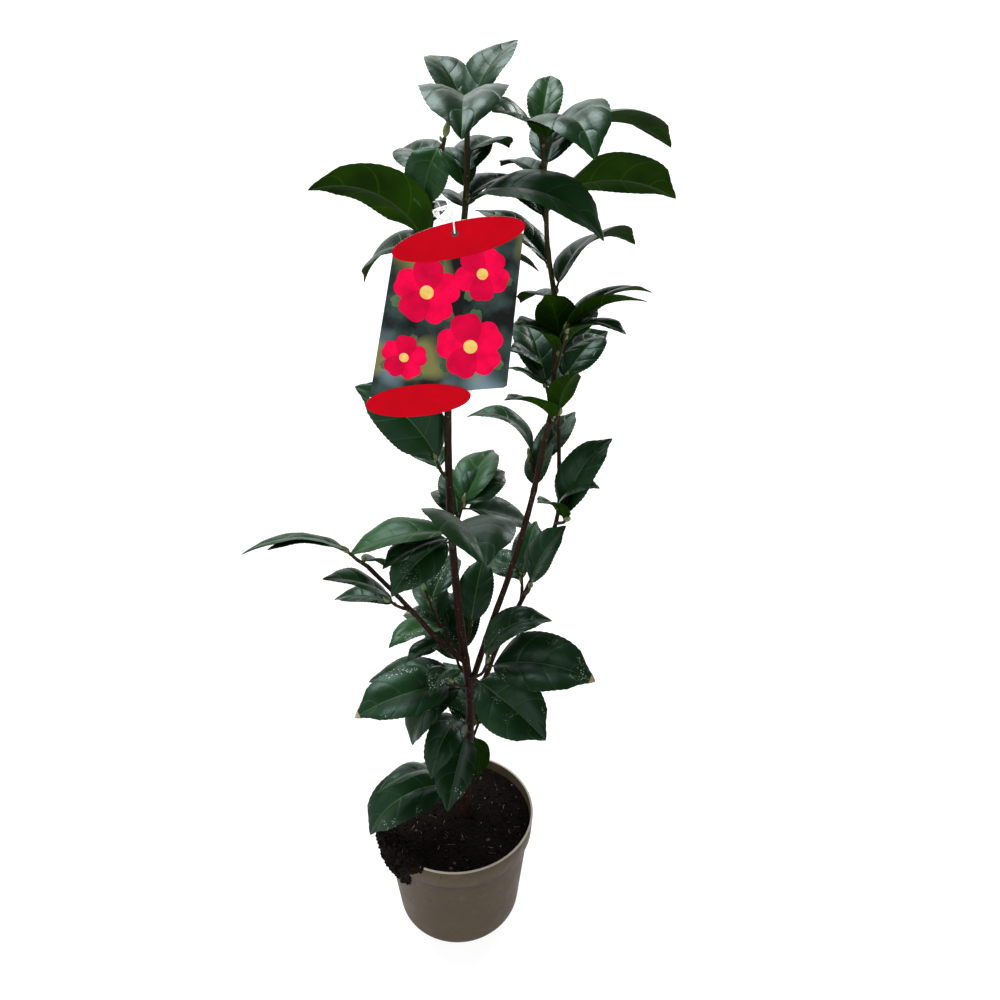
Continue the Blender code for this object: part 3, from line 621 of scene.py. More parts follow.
class Parts:
    """Gathers the points and faces of many small shapes for one joined mesh."""

    def __init__(self):
        self.points, self.faces, self.slots, self.coordinates = [], [], [], []

    def add(self, points, faces, slots=0, coordinates=None):
        """Adds a shape. slots is one material slot for all its faces, or one for each."""
        first = len(self.points)
        self.points.extend(tuple(point) for point in points)
        self.faces.extend(tuple(first + corner for corner in face) for face in faces)
        self.slots.extend([slots] * len(faces) if isinstance(slots, int) else slots)
        self.coordinates.extend(coordinates or [(0.0, 0.0)] * len(points))

    def build(self, name, finishes, sharp=60):
        """The joined mesh, smooth but for edges that bend more than the sharp angle."""
        mesh = bpy.data.meshes.new(name)
        mesh.from_pydata(self.points, [], self.faces)
        for finish in finishes:
            mesh.materials.append(finish.material)
        mesh.polygons.foreach_set("material_index", self.slots)
        corners = np.empty(len(mesh.loops), dtype=np.int32)
        mesh.loops.foreach_get("vertex_index", corners)
        layer = mesh.uv_layers.new(name="leaf")
        layer.data.foreach_set("uv", np.array(self.coordinates, dtype=np.float32)[corners].ravel())
        mesh.shade_smooth()
        mesh.set_sharp_from_angle(angle=math.radians(sharp))
        mesh.validate()
        return finished(name, mesh)


def finished(name, mesh):
    """Links a mesh as an object at the origin."""
    made = bpy.data.objects.new(name, mesh)
    bpy.context.scene.collection.objects.link(made)
    return made


def one_shape(name, points, faces, finish, sharp=60):
    """A piece of a single shape in a single finish."""
    parts = Parts()
    parts.add(points, faces)
    return parts.build(name, [finish], sharp)


def hand_over(piece, slot, *nodes):
    """Makes a piece part of the plant: it rides on its body and stands for its solids."""
    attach(piece, "root")
    if nodes:
        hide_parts(*nodes)


def ring(radius, height, sides):
    """Points round a level circle about Z."""
    angles = [math.tau * side / sides for side in range(sides)]
    return [(radius * math.cos(angle), radius * math.sin(angle), height) for angle in angles]


def pole_to_pole(sides, rows):
    """Faces of a closed shape: a first point, then rows of rings, then a last point."""
    last = 1 + rows * sides
    faces = []
    for side in range(sides):
        after = (side + 1) % sides
        faces.append((0, 1 + after, 1 + side))
        for low in range(1, last - sides, sides):
            high = low + sides
            faces.append((low + side, low + after, high + after, high + side))
        faces.append((last - sides + side, last - sides + after, last))
    return faces


def turned(profile, sides):
    """A shape turned about Z from (radius, height) points; the first and last lie on the axis."""
    points = [(0, 0, profile[0][1])]
    for radius, height in profile[1:-1]:
        points.extend(ring(radius, height, sides))
    points.append((0, 0, profile[-1][1]))
    return points, pole_to_pole(sides, len(profile) - 2)


# ---------------------------------------------------------------- node helpers


class Wiring:
    """Adds nodes to a tree. A node's outputs are returned, to feed the nodes after it."""

    def __init__(self, tree):
        self.tree = tree

    def link(self, value, socket):
        self.tree.links.new(value, socket)

    def node(self, kind, sockets=None, **settings):
        """A node with its settings made and its sockets fed by name or number."""
        made = self.tree.nodes.new(kind)
        for key, value in settings.items():
            setattr(made, key, value)
        for key, value in (sockets or {}).items():
            if isinstance(value, bpy.types.NodeSocket):
                self.link(value, made.inputs[key])
            else:
                made.inputs[key].default_value = value
        return made.outputs

    def maths(self, operation, *values, **settings):
        return self.node("ShaderNodeMath", dict(enumerate(values)), operation=operation, **settings)[0]

    def vector_maths(self, operation, sockets):
        return self.node("ShaderNodeVectorMath", sockets, operation=operation)[0]

    def fade(self, value, low, high, start=0.0, end=1.0):
        """Goes from start to end while the value goes from low to high, and stays there."""
        return self.node("ShaderNodeMapRange", {
            "Value": value, "From Min": low, "From Max": high, "To Min": start, "To Max": end})[0]

    def mix(self, share, under, over):
        """One colour laid over another."""
        return self.node("ShaderNodeMix", {0: share, 6: under, 7: over}, data_type="RGBA")[2]

    def noise(self, place, scale, detail, **more):
        return self.node("ShaderNodeTexNoise", {
            "Vector": place, "Scale": scale, "Detail": detail, **more})[0]

    def drawn(self, seed, least, most):
        """A vector drawn for each point between two others."""
        return self.node("FunctionNodeRandomValue", {0: least, 1: most, "Seed": seed},
                         data_type="FLOAT_VECTOR")[0]

    def finish_off(self, geometry, finish, end):
        """Makes copies real, smooths them and gives them their finish."""
        real = self.node("GeometryNodeRealizeInstances", {"Geometry": geometry})[0]
        smooth = self.node("GeometryNodeSetShadeSmooth", {"Geometry": real})[0]
        done = self.node("GeometryNodeSetMaterial", {"Geometry": smooth, "Material": finish})[0]
        self.link(done, end)


def new_tree(name, kind, inputs, outputs):
    """A node group with named inputs (kind, default) and outputs.

    Returns its wiring, the sockets that its inputs come from and those its outputs go to.
    """
    tree = bpy.data.node_groups.new(name, kind)
    for label, (socket, value) in inputs.items():
        made = tree.interface.new_socket(name=label, in_out="INPUT", socket_type=socket)
        if value is not None:
            made.default_value = value
    for label, socket in outputs.items():
        tree.interface.new_socket(name=label, in_out="OUTPUT", socket_type=socket)
    given, result = tree.nodes.new("NodeGroupInput"), tree.nodes.new("NodeGroupOutput")
    return Wiring(tree), given.outputs, result.inputs


def grow_with(name, points, edges, attributes, tree, values, faces=()):
    """Runs a Geometry Nodes tree on a mesh and returns the result as a plain object."""
    mesh = bpy.data.meshes.new(name)
    mesh.from_pydata([tuple(point) for point in points], edges, faces)
    for label, numbers in attributes.items():
        layer = mesh.attributes.new(label, "FLOAT", "POINT")
        layer.data.foreach_set("value", numbers)
    source = bpy.data.objects.new(name + "_source", mesh)
    modifier = source.modifiers.new(name, "NODES")
    modifier.node_group = tree
    for item in tree.interface.items_tree:
        if item.in_out == "INPUT" and item.name in values:
            modifier[item.identifier] = values[item.name]
    bpy.context.scene.collection.objects.link(source)
    graph = bpy.context.evaluated_depsgraph_get()
    made = bpy.data.meshes.new_from_object(source.evaluated_get(graph))
    source.modifiers.clear()
    bpy.data.objects.remove(source, do_unlink=True)
    if not made.polygons:
        raise RuntimeError(f"{name} came out empty")
    made.name = name
    return finished(name, made)


def stem_tree():
    """Sweeps a round section along edges, by their radius, and wrinkles it."""
    add, given, result = new_tree("stem_sweep", "GeometryNodeTree", {
        "Axis": ("NodeSocketGeometry", None), "Sides": ("NodeSocketInt", 12),
        "Relief": ("NodeSocketFloat", 0.0005), "Wrinkle Scale": ("NodeSocketFloat", 300.0),
        "Finish": ("NodeSocketMaterial", None)}, {"Stems": "NodeSocketGeometry"})
    curve = add.node("GeometryNodeMeshToCurve", {"Mesh": given["Axis"]})[0]
    radius = add.node("GeometryNodeInputNamedAttribute", {"Name": "thickness"})[0]
    circle = add.node("GeometryNodeCurvePrimitiveCircle", {"Resolution": given["Sides"], "Radius": 1.0})[0]
    swept = add.node("GeometryNodeCurveToMesh", {
        "Curve": curve, "Profile Curve": circle, "Scale": radius, "Fill Caps": True})[0]
    place = add.node("GeometryNodeInputPosition")[0]
    lengthwise = add.vector_maths("MULTIPLY", {0: place, 1: (1.0, 1.0, 0.22)})
    wrinkles = add.noise(lengthwise, given["Wrinkle Scale"], 3.0)
    height = add.maths("MULTIPLY", add.maths("SUBTRACT", wrinkles, 0.5), given["Relief"])
    normal = add.node("GeometryNodeInputNormal")[0]
    offset = add.vector_maths("SCALE", {0: normal, "Scale": height})
    moved = add.node("GeometryNodeSetPosition", {"Geometry": swept, "Offset": offset})[0]
    add.finish_off(moved, given["Finish"], result[0])
    return add.tree


def scatter_tree(name, grain):
    """Strews one small shape over a mesh's faces. grain adds the shape's nodes to the tree."""
    add, given, result = new_tree(name, "GeometryNodeTree", {
        "Ground": ("NodeSocketGeometry", None), "Density": ("NodeSocketFloat", 1000.0),
        "Size": ("NodeSocketFloat", 0.001), "Smallest": ("NodeSocketFloat", 0.3),
        "Tilt": ("NodeSocketFloat", 3.14), "Seed": ("NodeSocketInt", 0),
        "Finish": ("NodeSocketMaterial", None)}, {"Grains": "NodeSocketGeometry"})
    seed, tilt = given["Seed"], given["Tilt"]
    strewn = add.node("GeometryNodeDistributePointsOnFaces", {
        "Mesh": given["Ground"], "Density": given["Density"], "Seed": seed})
    back = add.maths("MULTIPLY", tilt, -1.0)
    least = add.node("ShaderNodeCombineXYZ", {0: back, 1: back})[0]
    most = add.node("ShaderNodeCombineXYZ", {0: tilt, 1: tilt, 2: math.tau})[0]
    turn = add.node("FunctionNodeEulerToRotation", {0: add.drawn(seed, least, most)})[0]
    turned_on = add.node("FunctionNodeRotateRotation", {0: strewn["Rotation"], 1: turn},
                         rotation_space="LOCAL")[0]
    share = add.drawn(seed, (0.55, 0.55, 0.45), (1.0, 1.0, 1.0))
    draw = add.node("FunctionNodeRandomValue", {2: 0.0, 3: 1.0, "Seed": seed}, data_type="FLOAT")[1]
    spread = add.fade(add.maths("POWER", draw, 2.5), 0.0, 1.0, given["Smallest"])
    size = add.maths("MULTIPLY", spread, given["Size"])
    scale = add.vector_maths("SCALE", {0: share, "Scale": size})
    placed = add.node("GeometryNodeInstanceOnPoints", {
        "Points": strewn["Points"], "Instance": grain(add), "Rotation": turned_on, "Scale": scale})[0]
    add.finish_off(placed, given["Finish"], result[0])
    return add.tree


def crumb(add):
    """A lumpy ball of radius 1."""
    ball = add.node("GeometryNodeMeshIcoSphere", {"Radius": 1.0, "Subdivisions": 2})[0]
    lumps = add.node("ShaderNodeTexNoise", {"Scale": 1.3, "Detail": 1.0})["Color"]
    push = add.vector_maths("SUBTRACT", {0: lumps, 1: (0.5, 0.5, 0.5)})
    return add.node("GeometryNodeSetPosition", {"Geometry": ball, "Offset": push})[0]


def fibre(add):
    """A thin bent root of length 2."""
    arc = add.node("GeometryNodeCurveQuadraticBezier", {
        "Resolution": 6, "Start": (-1.0, 0.0, 0.0), "Middle": (0.1, 0.45, 0.2),
        "End": (1.0, -0.1, 0.05)})[0]
    section = add.node("GeometryNodeCurvePrimitiveCircle", {"Resolution": 4, "Radius": 0.018})[0]
    return add.node("GeometryNodeCurveToMesh", {
        "Curve": arc, "Profile Curve": section, "Fill Caps": True})[0]


# ---------------------------------------------------------------- finishes


def mottle_group():
    """Slow blotches between two colours, and their mask."""
    if "mottle" in bpy.data.node_groups:
        return bpy.data.node_groups["mottle"]
    add, given, result = new_tree("mottle", "ShaderNodeTree", {
        "Coordinates": ("NodeSocketVector", None), "Scale": ("NodeSocketFloat", 40.0),
        "Dark": ("NodeSocketColor", (0, 0, 0, 1)), "Light": ("NodeSocketColor", (1, 1, 1, 1)),
        "Contrast": ("NodeSocketFloat", 1.0)},
        {"Color": "NodeSocketColor", "Mask": "NodeSocketFloat"})
    lifted = add.maths("SUBTRACT", add.noise(given["Coordinates"], given["Scale"], 4.0), 0.5)
    mask = add.maths("MULTIPLY_ADD", lifted, given["Contrast"], 0.5, use_clamp=True)
    add.link(add.mix(mask, given["Dark"], given["Light"]), result["Color"])
    add.link(mask, result["Mask"])
    return add.tree


def veins_group():
    """Side veins that run from the midrib towards the tip, from the blade's own coordinates."""
    if "leaf_veins" in bpy.data.node_groups:
        return bpy.data.node_groups["leaf_veins"]
    add, given, result = new_tree("leaf_veins", "ShaderNodeTree", {
        "Blade": ("NodeSocketVector", None), "Veins": ("NodeSocketFloat", 8.0),
        "Sweep": ("NodeSocketFloat", 1.6)},
        {"Height": "NodeSocketFloat", "Mask": "NodeSocketFloat"})
    along, across, _ = add.node("ShaderNodeSeparateXYZ", {0: given["Blade"]})
    bent = add.maths("POWER", add.maths("ABSOLUTE", across), 1.3)
    swept = add.maths("MULTIPLY", bent, given["Sweep"])
    phase = add.maths("SUBTRACT", add.maths("MULTIPLY", along, given["Veins"]), swept)
    saw = add.maths("PINGPONG", phase, 1.0)
    add.link(add.maths("POWER", saw, 0.45), result["Height"])
    add.link(add.fade(saw, 0.0, 0.10, 1.0, 0.0), result["Mask"])
    return add.tree


def tinted(colour, factor=1.0):
    """A colour made darker or lighter by a factor, with its alpha."""
    return (*[min(1.0, channel * factor) for channel in colour], 1.0)


def shades(colour, dark, light):
    return tinted(colour, dark), tinted(colour, light)


class Finish(Wiring):
    """A material's nodes. Further keywords are plain values of its Principled shader."""

    def __init__(self, name, **values):
        self.material = bpy.data.materials.new(name)
        self.material.use_nodes = True
        super().__init__(self.material.node_tree)
        self.shader = self.tree.nodes["Principled BSDF"]
        for label, value in values.items():
            self.shader.inputs[label.replace("_", " ")].default_value = value
        self.place = self.node("ShaderNodeTexCoord")["Object"]

    def stretched(self, stretch, shift=(0.0, 0.0, 0.0)):
        """Object coordinates, drawn out and moved."""
        return self.node("ShaderNodeMapping", {
            "Vector": self.place, "Location": shift, "Scale": stretch})[0]

    def level(self):
        """Height over the pot's underside, in metres."""
        return self.node("ShaderNodeSeparateXYZ", {0: self.place})[2]

    def mottle(self, place, scale, contrast, dark, light):
        return self.node("ShaderNodeGroup", {
            "Coordinates": place, "Scale": scale, "Contrast": contrast, "Dark": dark,
            "Light": light}, node_tree=mottle_group())

    def spots(self, scale, low, high, strength):
        """Round spots at random places: their mask, and a colour drawn for each."""
        cells = self.node("ShaderNodeTexVoronoi", {"Vector": self.place, "Scale": scale})
        return self.fade(cells["Distance"], low, high, strength, 0.0), cells["Color"]

    def set_colour(self, colour):
        self.colour = colour
        self.link(colour, self.shader.inputs["Base Color"])

    def set_roughness(self, mask, span, low=0.0, high=1.0):
        """Roughness goes over its span while the mask goes from low to high."""
        self.link(self.fade(mask, low, high, *span), self.shader.inputs["Roughness"])

    def set_relief(self, height, depth):
        pressed = self.node("ShaderNodeBump", {"Strength": 1.0, "Distance": depth, "Height": height})[0]
        self.link(pressed, self.shader.inputs["Normal"])


def mottled(name, dark, light, scale, contrast=2.5, rough=(0.4, 0.5), bump=0.0, bump_scale=400.0,
            **values):
    """A finish whose colour and gloss wander, with a fine grain in its relief."""
    finish = Finish(name, **values)
    blotches = finish.mottle(finish.place, scale, contrast, dark, light)
    finish.set_colour(blotches["Color"])
    finish.set_roughness(blotches["Mask"], rough)
    if bump:
        finish.set_relief(finish.noise(finish.place, bump_scale, 3.0), bump)
    return finish


def weathered(finish, paint):
    """Dried water marks in loose groups on the lower leaves."""
    spot, _ = finish.spots(560.0, 0.16, 0.30, 1.0)
    groups = finish.fade(finish.noise(finish.place, 52.0, 2.0), 0.59, 0.67)
    low = finish.fade(finish.level(), MARKS_BELOW - 0.06, MARKS_BELOW, 0.95, 0.0)
    marks = finish.maths("MULTIPLY", finish.maths("MULTIPLY", spot, groups), low)
    return finish.mix(marks, paint, MARK_TINT)


def leaf_finish(name, dark, light, rough, relief, vein_tint, vein_share, **values):
    """The skin of a blade, with side veins pressed into it."""
    finish = Finish(name, **values)
    blade = finish.node("ShaderNodeUVMap", uv_map="leaf")[0]
    blotches = finish.mottle(finish.place, 28.0, 2.2, dark, light)
    veins = finish.node("ShaderNodeGroup", {"Blade": blade}, node_tree=veins_group())
    share = finish.maths("MULTIPLY", veins["Mask"], vein_share)
    finish.set_colour(weathered(finish, finish.mix(share, blotches["Color"], (*vein_tint, 1.0))))
    finish.set_roughness(blotches["Mask"], rough)
    pores = finish.noise(finish.place, 260.0, 2.0)
    swells = finish.noise(finish.place, 48.0, 1.0)
    rolling = finish.maths("MULTIPLY_ADD", swells, 1.5, veins["Height"])
    finish.set_relief(finish.maths("MULTIPLY_ADD", pores, 0.35, rolling), relief)
    return finish


# ---------------------------------------------------------------- leaves


def blade_faces(count, top, dry_steps):
    """Faces and slots of a blade: both sides of every step, the two edges and the two ends."""
    columns = len(BLADE_COLUMNS)
    faces, slots = [], []

    def corner(step, column, lower):
        return step * columns * 2 + column + (columns if lower else 0)

    for step in range(count):
        if step >= count - dry_steps:
            top_slot = under_slot = rib_slot = keel_slot = DRY_TIP
        else:
            top_slot, under_slot, rib_slot, keel_slot = top, UNDERSIDE, MIDRIB, KEEL
        for column in range(columns - 1):
            middle = column == columns // 2 - 1
            faces.append((corner(step, column, False), corner(step + 1, column, False),
                          corner(step + 1, column + 1, False), corner(step, column + 1, False)))
            slots.append(rib_slot if middle else top_slot)
            faces.append((corner(step, column, True), corner(step, column + 1, True),
                          corner(step + 1, column + 1, True), corner(step + 1, column, True)))
            slots.append(keel_slot if middle else under_slot)
        last = columns - 1
        faces.append((corner(step, 0, False), corner(step, 0, True),
                      corner(step + 1, 0, True), corner(step + 1, 0, False)))
        faces.append((corner(step, last, False), corner(step + 1, last, False),
                      corner(step + 1, last, True), corner(step, last, True)))
        slots.extend([under_slot] * 2)
    for column in range(columns - 1):
        faces.append((corner(0, column, False), corner(0, column + 1, False),
                      corner(0, column + 1, True), corner(0, column, True)))
        faces.append((corner(count, column, False), corner(count, column, True),
                      corner(count, column + 1, True), corner(count, column + 1, False)))
        slots.extend([under_slot] * 2)
    return faces, slots


def grow_blade(parts, root, row, look, draw, top, dry_steps):
    """One leaf blade: a closed sheet with a sunken midrib, arched halves and a toothed edge."""
    length = row.reach * MM
    widest = length * LEAF_WIDTH_RATIO * 0.5 * row.broad
    count = look.stations
    shares = [(step / count) ** 1.08 for step in range(count + 1)]
    frames = leaf_frames(row, [LEAF_STALK + (1 - LEAF_STALK) * share for share in shares])
    waves = [(draw.uniform(1.2, 2.4), draw.uniform(0, math.tau), draw.uniform(0.4, 1.0))
             for _ in range(2)]
    points, coordinates = [], []
    for step, (share, (spot, side, normal)) in enumerate(zip(shares, frames)):
        centre = root + spot * length
        half = max(widest * leaf_width(min(max(share, 0.004), 0.9995)), 0.30 * MM)
        rib = min(look.rib_width * 0.5 * (1 - 0.75 * share), 0.2 * half)
        notch = look.tooth if step % 2 and 0.10 < share < 0.94 else 0.0
        upper, under = [], []
        for column, part in enumerate(BLADE_COLUMNS):
            on_rib = part is None
            if on_rib:
                part = (-1 if column < len(BLADE_COLUMNS) // 2 else 1) * rib / half
            beside = abs(part)
            reach = part * half
            if beside == 1.0:
                reach -= math.copysign(min(notch, half * 0.3), part)
            number, phase, strength = waves[0 if part < 0 else 1]
            ripple = look.wave * strength * beside ** 2 * math.sin(math.tau * number * share + phase)
            ripple *= min(1.0, half / (8 * MM))
            rise = half * (look.fold * beside + look.crown * math.sin(math.pi * beside)) + ripple
            sheet = look.thickness * (1 - 0.5 * beside)
            keel = 0.5 * look.rib_width * (1 - share) if on_rib else 0.0
            place = centre + side * reach + normal * rise
            upper.append(place + normal * (sheet / 2))
            under.append(place - normal * (sheet / 2 + keel))
        points.extend(upper + under)
        coordinates.extend([(share, part or 0.0) for part in BLADE_COLUMNS] * 2)
    parts.add(points, *blade_faces(count, top, dry_steps), coordinates)


class CAMELLIA_OT_leaves(bpy.types.Operator):
    """Grow every leaf blade on its own stalk"""

    bl_idname = "camellia.leaves"
    bl_label = "Leaves"

    def execute(self, context):
        look = context.scene.camellia_leaves
        grown, fresh, under = look.top_colour, look.fresh_colour, look.under_colour
        uppers = (
            ("leaf_top_dark", *shades(grown, 0.8, 1.3), (0.31, 0.42), 0.55 * MM, (0.02, 0.06, 0.03)),
            ("leaf_top_grown", *shades(grown, 1.0, 1.8), (0.33, 0.46), 0.55 * MM, (0.03, 0.08, 0.035)),
            ("leaf_top_fresh", *shades(fresh, 0.9, 1.5), (0.31, 0.42), 0.36 * MM, (0.05, 0.13, 0.04)),
        )
        finishes = [
            *[leaf_finish(*upper, 0.3, Specular_IOR_Level=0.19, Specular_Tint=WAX_TINT)
              for upper in uppers],
            leaf_finish("leaf_underside", *shades(under, 0.6, 2.2), (0.50, 0.65), 0.25 * MM,
                        (0.05, 0.10, 0.01), 0.25, Specular_IOR_Level=0.02),
            mottled("leaf_midrib", *shades(look.rib_colour, 0.8, 1.2), 60.0, rough=(0.40, 0.50),
                    Specular_IOR_Level=0.1),
            mottled("leaf_keel", *shades(under, 1.5, 2.3), 60.0, rough=(0.50, 0.60),
                    Specular_IOR_Level=0.1),
            mottled("leaf_dry_tip", *DRY_TIP_COLOURS, 200.0, rough=(0.60, 0.75), Specular_IOR_Level=0.1),
        ]
        _, leaves = grow_plant()
        upper, lower = Parts(), Parts()
        draw = random.Random(12)
        dryness = random.Random(5)
        for _, root, row in leaves:
            if row.reach < FRESH_REACH:
                top = FRESH_TOP
            else:
                top = draw.choices((0, 1, FRESH_TOP), (5, 4, 1))[0]
            dry = root.z < DRY_BELOW and (row.reach > DRY_REACH or dryness.random() < DRY_CHANCE)
            parts = upper if root.z > UPPER_FROM else lower
            grow_blade(parts, root, row, look, draw, top, DRY_STEPS if dry else 0)
        for title, parts in (("leaves_upper", upper), ("leaves_lower", lower)):
            hand_over(parts.build(title, finishes), "foliage", *MASSES)
        return {"FINISHED"}


# ---------------------------------------------------------------- stems and buds


def thickness_along(limb, marks, swelling, seed):
    """Radius at each mark of a limb: its taper, flare, fork collar and old leaf joints."""
    draw = random.Random(seed)
    foot, tip = limb["radii"]
    total = marks[-1]
    joints, place = [], draw.uniform(8, 18) * MM
    while place < total - 4 * MM:
        joints.append(place)
        place += draw.uniform(17, 34) * MM
    radii = []
    for mark in marks:
        share = mark / total
        radius = (foot + (tip - foot) * share) * MM
        radius *= 1 + (limb.get("flare", 1.0) - 1) * max(0.0, 1 - share / FLARE_SHARE)
        if "height" in limb:
            radius *= 1 + FORK_COLLAR * math.exp(-(mark / (6 * MM)) ** 2)
        for joint in joints:
            radius *= 1 + swelling * math.exp(-((mark - joint) / (1.8 * MM)) ** 2)
        radii.append(radius)
    return radii


class Axes:
    """Gathers the axes of many stems, with their thickness and youth, for one sweep."""

    def __init__(self):
        self.points, self.edges, self.thickness, self.youth = [], [], [], []

    def add(self, path, radii, youth):
        first = len(self.points)
        self.points.extend(path)
        self.edges.extend((first + step, first + step + 1) for step in range(len(path) - 1))
        self.thickness.extend(radii)
        self.youth.extend(youth)

    def sweep(self, name, sides, relief, scale, finish):
        tree = bpy.data.node_groups.get("stem_sweep") or stem_tree()
        return grow_with(name, self.points, self.edges,
                         {"thickness": self.thickness, "youth": self.youth}, tree,
                         {"Sides": sides, "Relief": relief, "Wrinkle Scale": scale,
                          "Finish": finish.material})


def bark_finish(name, look):
    """Dark bark that turns green towards the young end, with pale pores and lengthwise streaks."""
    finish = Finish(name, Specular_IOR_Level=0.06)
    lengthwise = finish.stretched((1.0, 1.0, 0.18))
    old, young = [finish.mottle(lengthwise, 420.0, 2.4, *shades(colour, 0.55, 1.7))
                  for colour in (look.bark_colour, look.young_colour)]
    youth = finish.node("ShaderNodeAttribute", attribute_name="youth")["Fac"]
    pores, _ = finish.spots(260.0, 0.10, 0.22, 0.55)
    finish.set_colour(finish.mix(pores, finish.mix(youth, old["Color"], young["Color"]), PORE_COLOUR))
    finish.set_roughness(old["Mask"], (0.45, 0.68))
    finish.set_relief(finish.noise(lengthwise, 900.0, 4.0), 0.25 * MM)
    return finish


def ramp(value, low, high):
    """Goes from 0 to 1 while the value goes from low to high."""
    return min(1.0, max(0.0, (value - low) / (high - low)))


class CAMELLIA_OT_limbs(bpy.types.Operator):
    """Sweep the trunk and boughs, with the bark's relief"""

    bl_idname = "camellia.limbs"
    bl_label = "Trunk and Boughs"

    def execute(self, context):
        look = context.scene.camellia_stems
        paths, _ = grow_plant()
        finish = bark_finish("bark", look)
        for seed, (name, limb) in enumerate(LIMBS.items(), 40):
            path = list(paths[name])
            if "parent" not in limb:
                path.insert(0, path[0] - Vector((0, 0, TRUNK_SUNK * MM)))
            axes = Axes()
            axes.add(path, thickness_along(limb, distances(path), look.swelling, seed),
                     [0.85 * ramp(point.z, *BOUGH_GREENS) for point in path])
            piece = axes.sweep(name + "_bark", look.sides, look.relief, 420.0, finish)
            hand_over(piece, "bark", name)
        return {"FINISHED"}


class CAMELLIA_OT_twigs(bpy.types.Operator):
    """Sweep the stems of the leaf masses and the stalks of the leaves"""

    bl_idname = "camellia.twigs"
    bl_label = "Twigs and Stalks"

    def execute(self, context):
        look = context.scene.camellia_stems
        paths, leaves = grow_plant()
        axes = Axes()
        for seed, (name, foliage) in enumerate(MASSES.items(), 70):
            path = paths[name]
            axes.add(path, thickness_along(foliage, distances(path), look.swelling, seed),
                     [0.35 + 0.6 * ramp(point.z, *TWIG_GREENS) for point in path])
        steps = range(STALK_STEPS + 1)
        shares = [step / STALK_STEPS * (LEAF_STALK + 0.02) for step in steps]
        radii = [(1.05 - 0.35 * step / STALK_STEPS) * MM for step in steps]
        for _, root, row in leaves:
            path = [root + spot * row.reach * MM for spot, _, _ in leaf_frames(row, shares)]
            axes.add(path, radii, [0.9] * len(path))
        finish = bark_finish("twig", look)
        piece = axes.sweep("twigs", look.twig_sides, look.relief * 0.4, 500.0, finish)
        hand_over(piece, "foliage", *MASSES)
        return {"FINISHED"}


def grow_bud(parts, base, axis, length, radius):
    """A pointed bud of overlapping scales."""
    sides, rows, scale_rows = 10, 12, 4
    across = axis.orthogonal().normalized()
    other = axis.cross(across)
    points = [base - axis * radius * 0.4]
    for row in range(rows):
        share = (row + 0.5) / rows
        outline = radius * math.sin(math.pi * min(1.0, share ** 0.75)) ** 0.8
        step = (share * scale_rows) % 1.0
        turn = 1 if int(share * scale_rows) % 2 else -1
        for side in range(sides):
            angle = math.tau * (side / sides) + row * 0.12
            scales = 1 + 0.10 * (0.5 - step) * turn * math.cos(2 * angle)
            reach = outline * scales * (1.05 - 0.12 * step)
            points.append(base + axis * (share * length)
                          + (across * math.cos(angle) + other * math.sin(angle)) * reach)
    points.append(base + axis * length)
    parts.add(points, pole_to_pole(sides, rows))


class CAMELLIA_OT_buds(bpy.types.Operator):
    """Set a bud on the tip of each twig and in some leaf axils"""

    bl_idname = "camellia.buds"
    bl_label = "Buds"

    def execute(self, context):
        look = context.scene.camellia_stems
        paths, leaves = grow_plant()
        draw = random.Random(5)
        parts = Parts()
        for name in MASSES:
            path = paths[name]
            axis = (path[-1] - path[-3]).normalized()
            length = look.bud_length * draw.uniform(0.75, 1.1)
            grow_bud(parts, path[-1], axis, length, length * 0.22)
        for _, root, row in leaves:
            if draw.random() < AXIL_BUD_CHANCE:
                axis = (direction(row.azimuth, 62) + Vector((0, 0, 0.2))).normalized()
                length = look.bud_length * draw.uniform(0.32, 0.5)
                base = root + direction(row.azimuth, 20) * 1.3 * MM
                grow_bud(parts, base, axis, length, length * 0.27)
        finish = mottled("bud_scales", *shades(look.bud_colour, 0.6, 1.5), 180.0, rough=(0.35, 0.5),
                         bump=0.15 * MM, bump_scale=700.0)
        hand_over(parts.build("buds", [finish], sharp=50), "foliage")
        return {"FINISHED"}


# ---------------------------------------------------------------- pot and potting mix


def pot_radius(pot, height):
    """Outer radius of the tapered wall below the band."""
    share = height / (pot.height - pot.band_depth)
    return pot.base_radius + (pot.wall_top_radius - pot.base_radius) * share


def wall_profile(pot, inset):
    """From the underside round its edge and up the wall to just over the step below the band."""
    band_foot = pot.height - pot.band_depth
    taper = math.atan((pot.wall_top_radius - pot.base_radius) / band_foot)
    last = math.pi / 2 - taper
    top = pot.edge_radius * (1 - math.cos(last))
    centre = pot_radius(pot, top) - pot.edge_radius * math.sin(last)
    radius = pot.edge_radius - inset
    profile = [(0, inset)]
    for step in range(13):
        angle = last * step / 12
        profile.append((centre + radius * math.sin(angle), pot.edge_radius - radius * math.cos(angle)))
    for step in range(1, 8):
        height = top + (band_foot - 1 * MM - top) * step / 8
        profile.append((pot_radius(pot, height) - inset, height))
    for step in range(9):
        share = step / 8
        rise = (band_foot - BAND_STEP_HEIGHT / 2 * MM) + BAND_STEP_HEIGHT * MM * share
        eased = share * share * (3 - 2 * share)
        profile.append((pot_radius(pot, band_foot) + pot.band_step * eased - inset, rise))
    return profile


def pot_profile(pot):
    """The whole section of the pot: outside, rounded rim and inside."""
    middle, half = pot.rim_radius - pot.wall / 2, pot.wall / 2
    rise = half * 0.8
    rim = []
    for step in range(9):
        angle = math.pi * step / 8
        rim.append((middle + half * math.cos(angle), pot.height - rise + rise * math.sin(angle)))
    return [*wall_profile(pot, 0), *rim, *reversed(wall_profile(pot, pot.wall))]


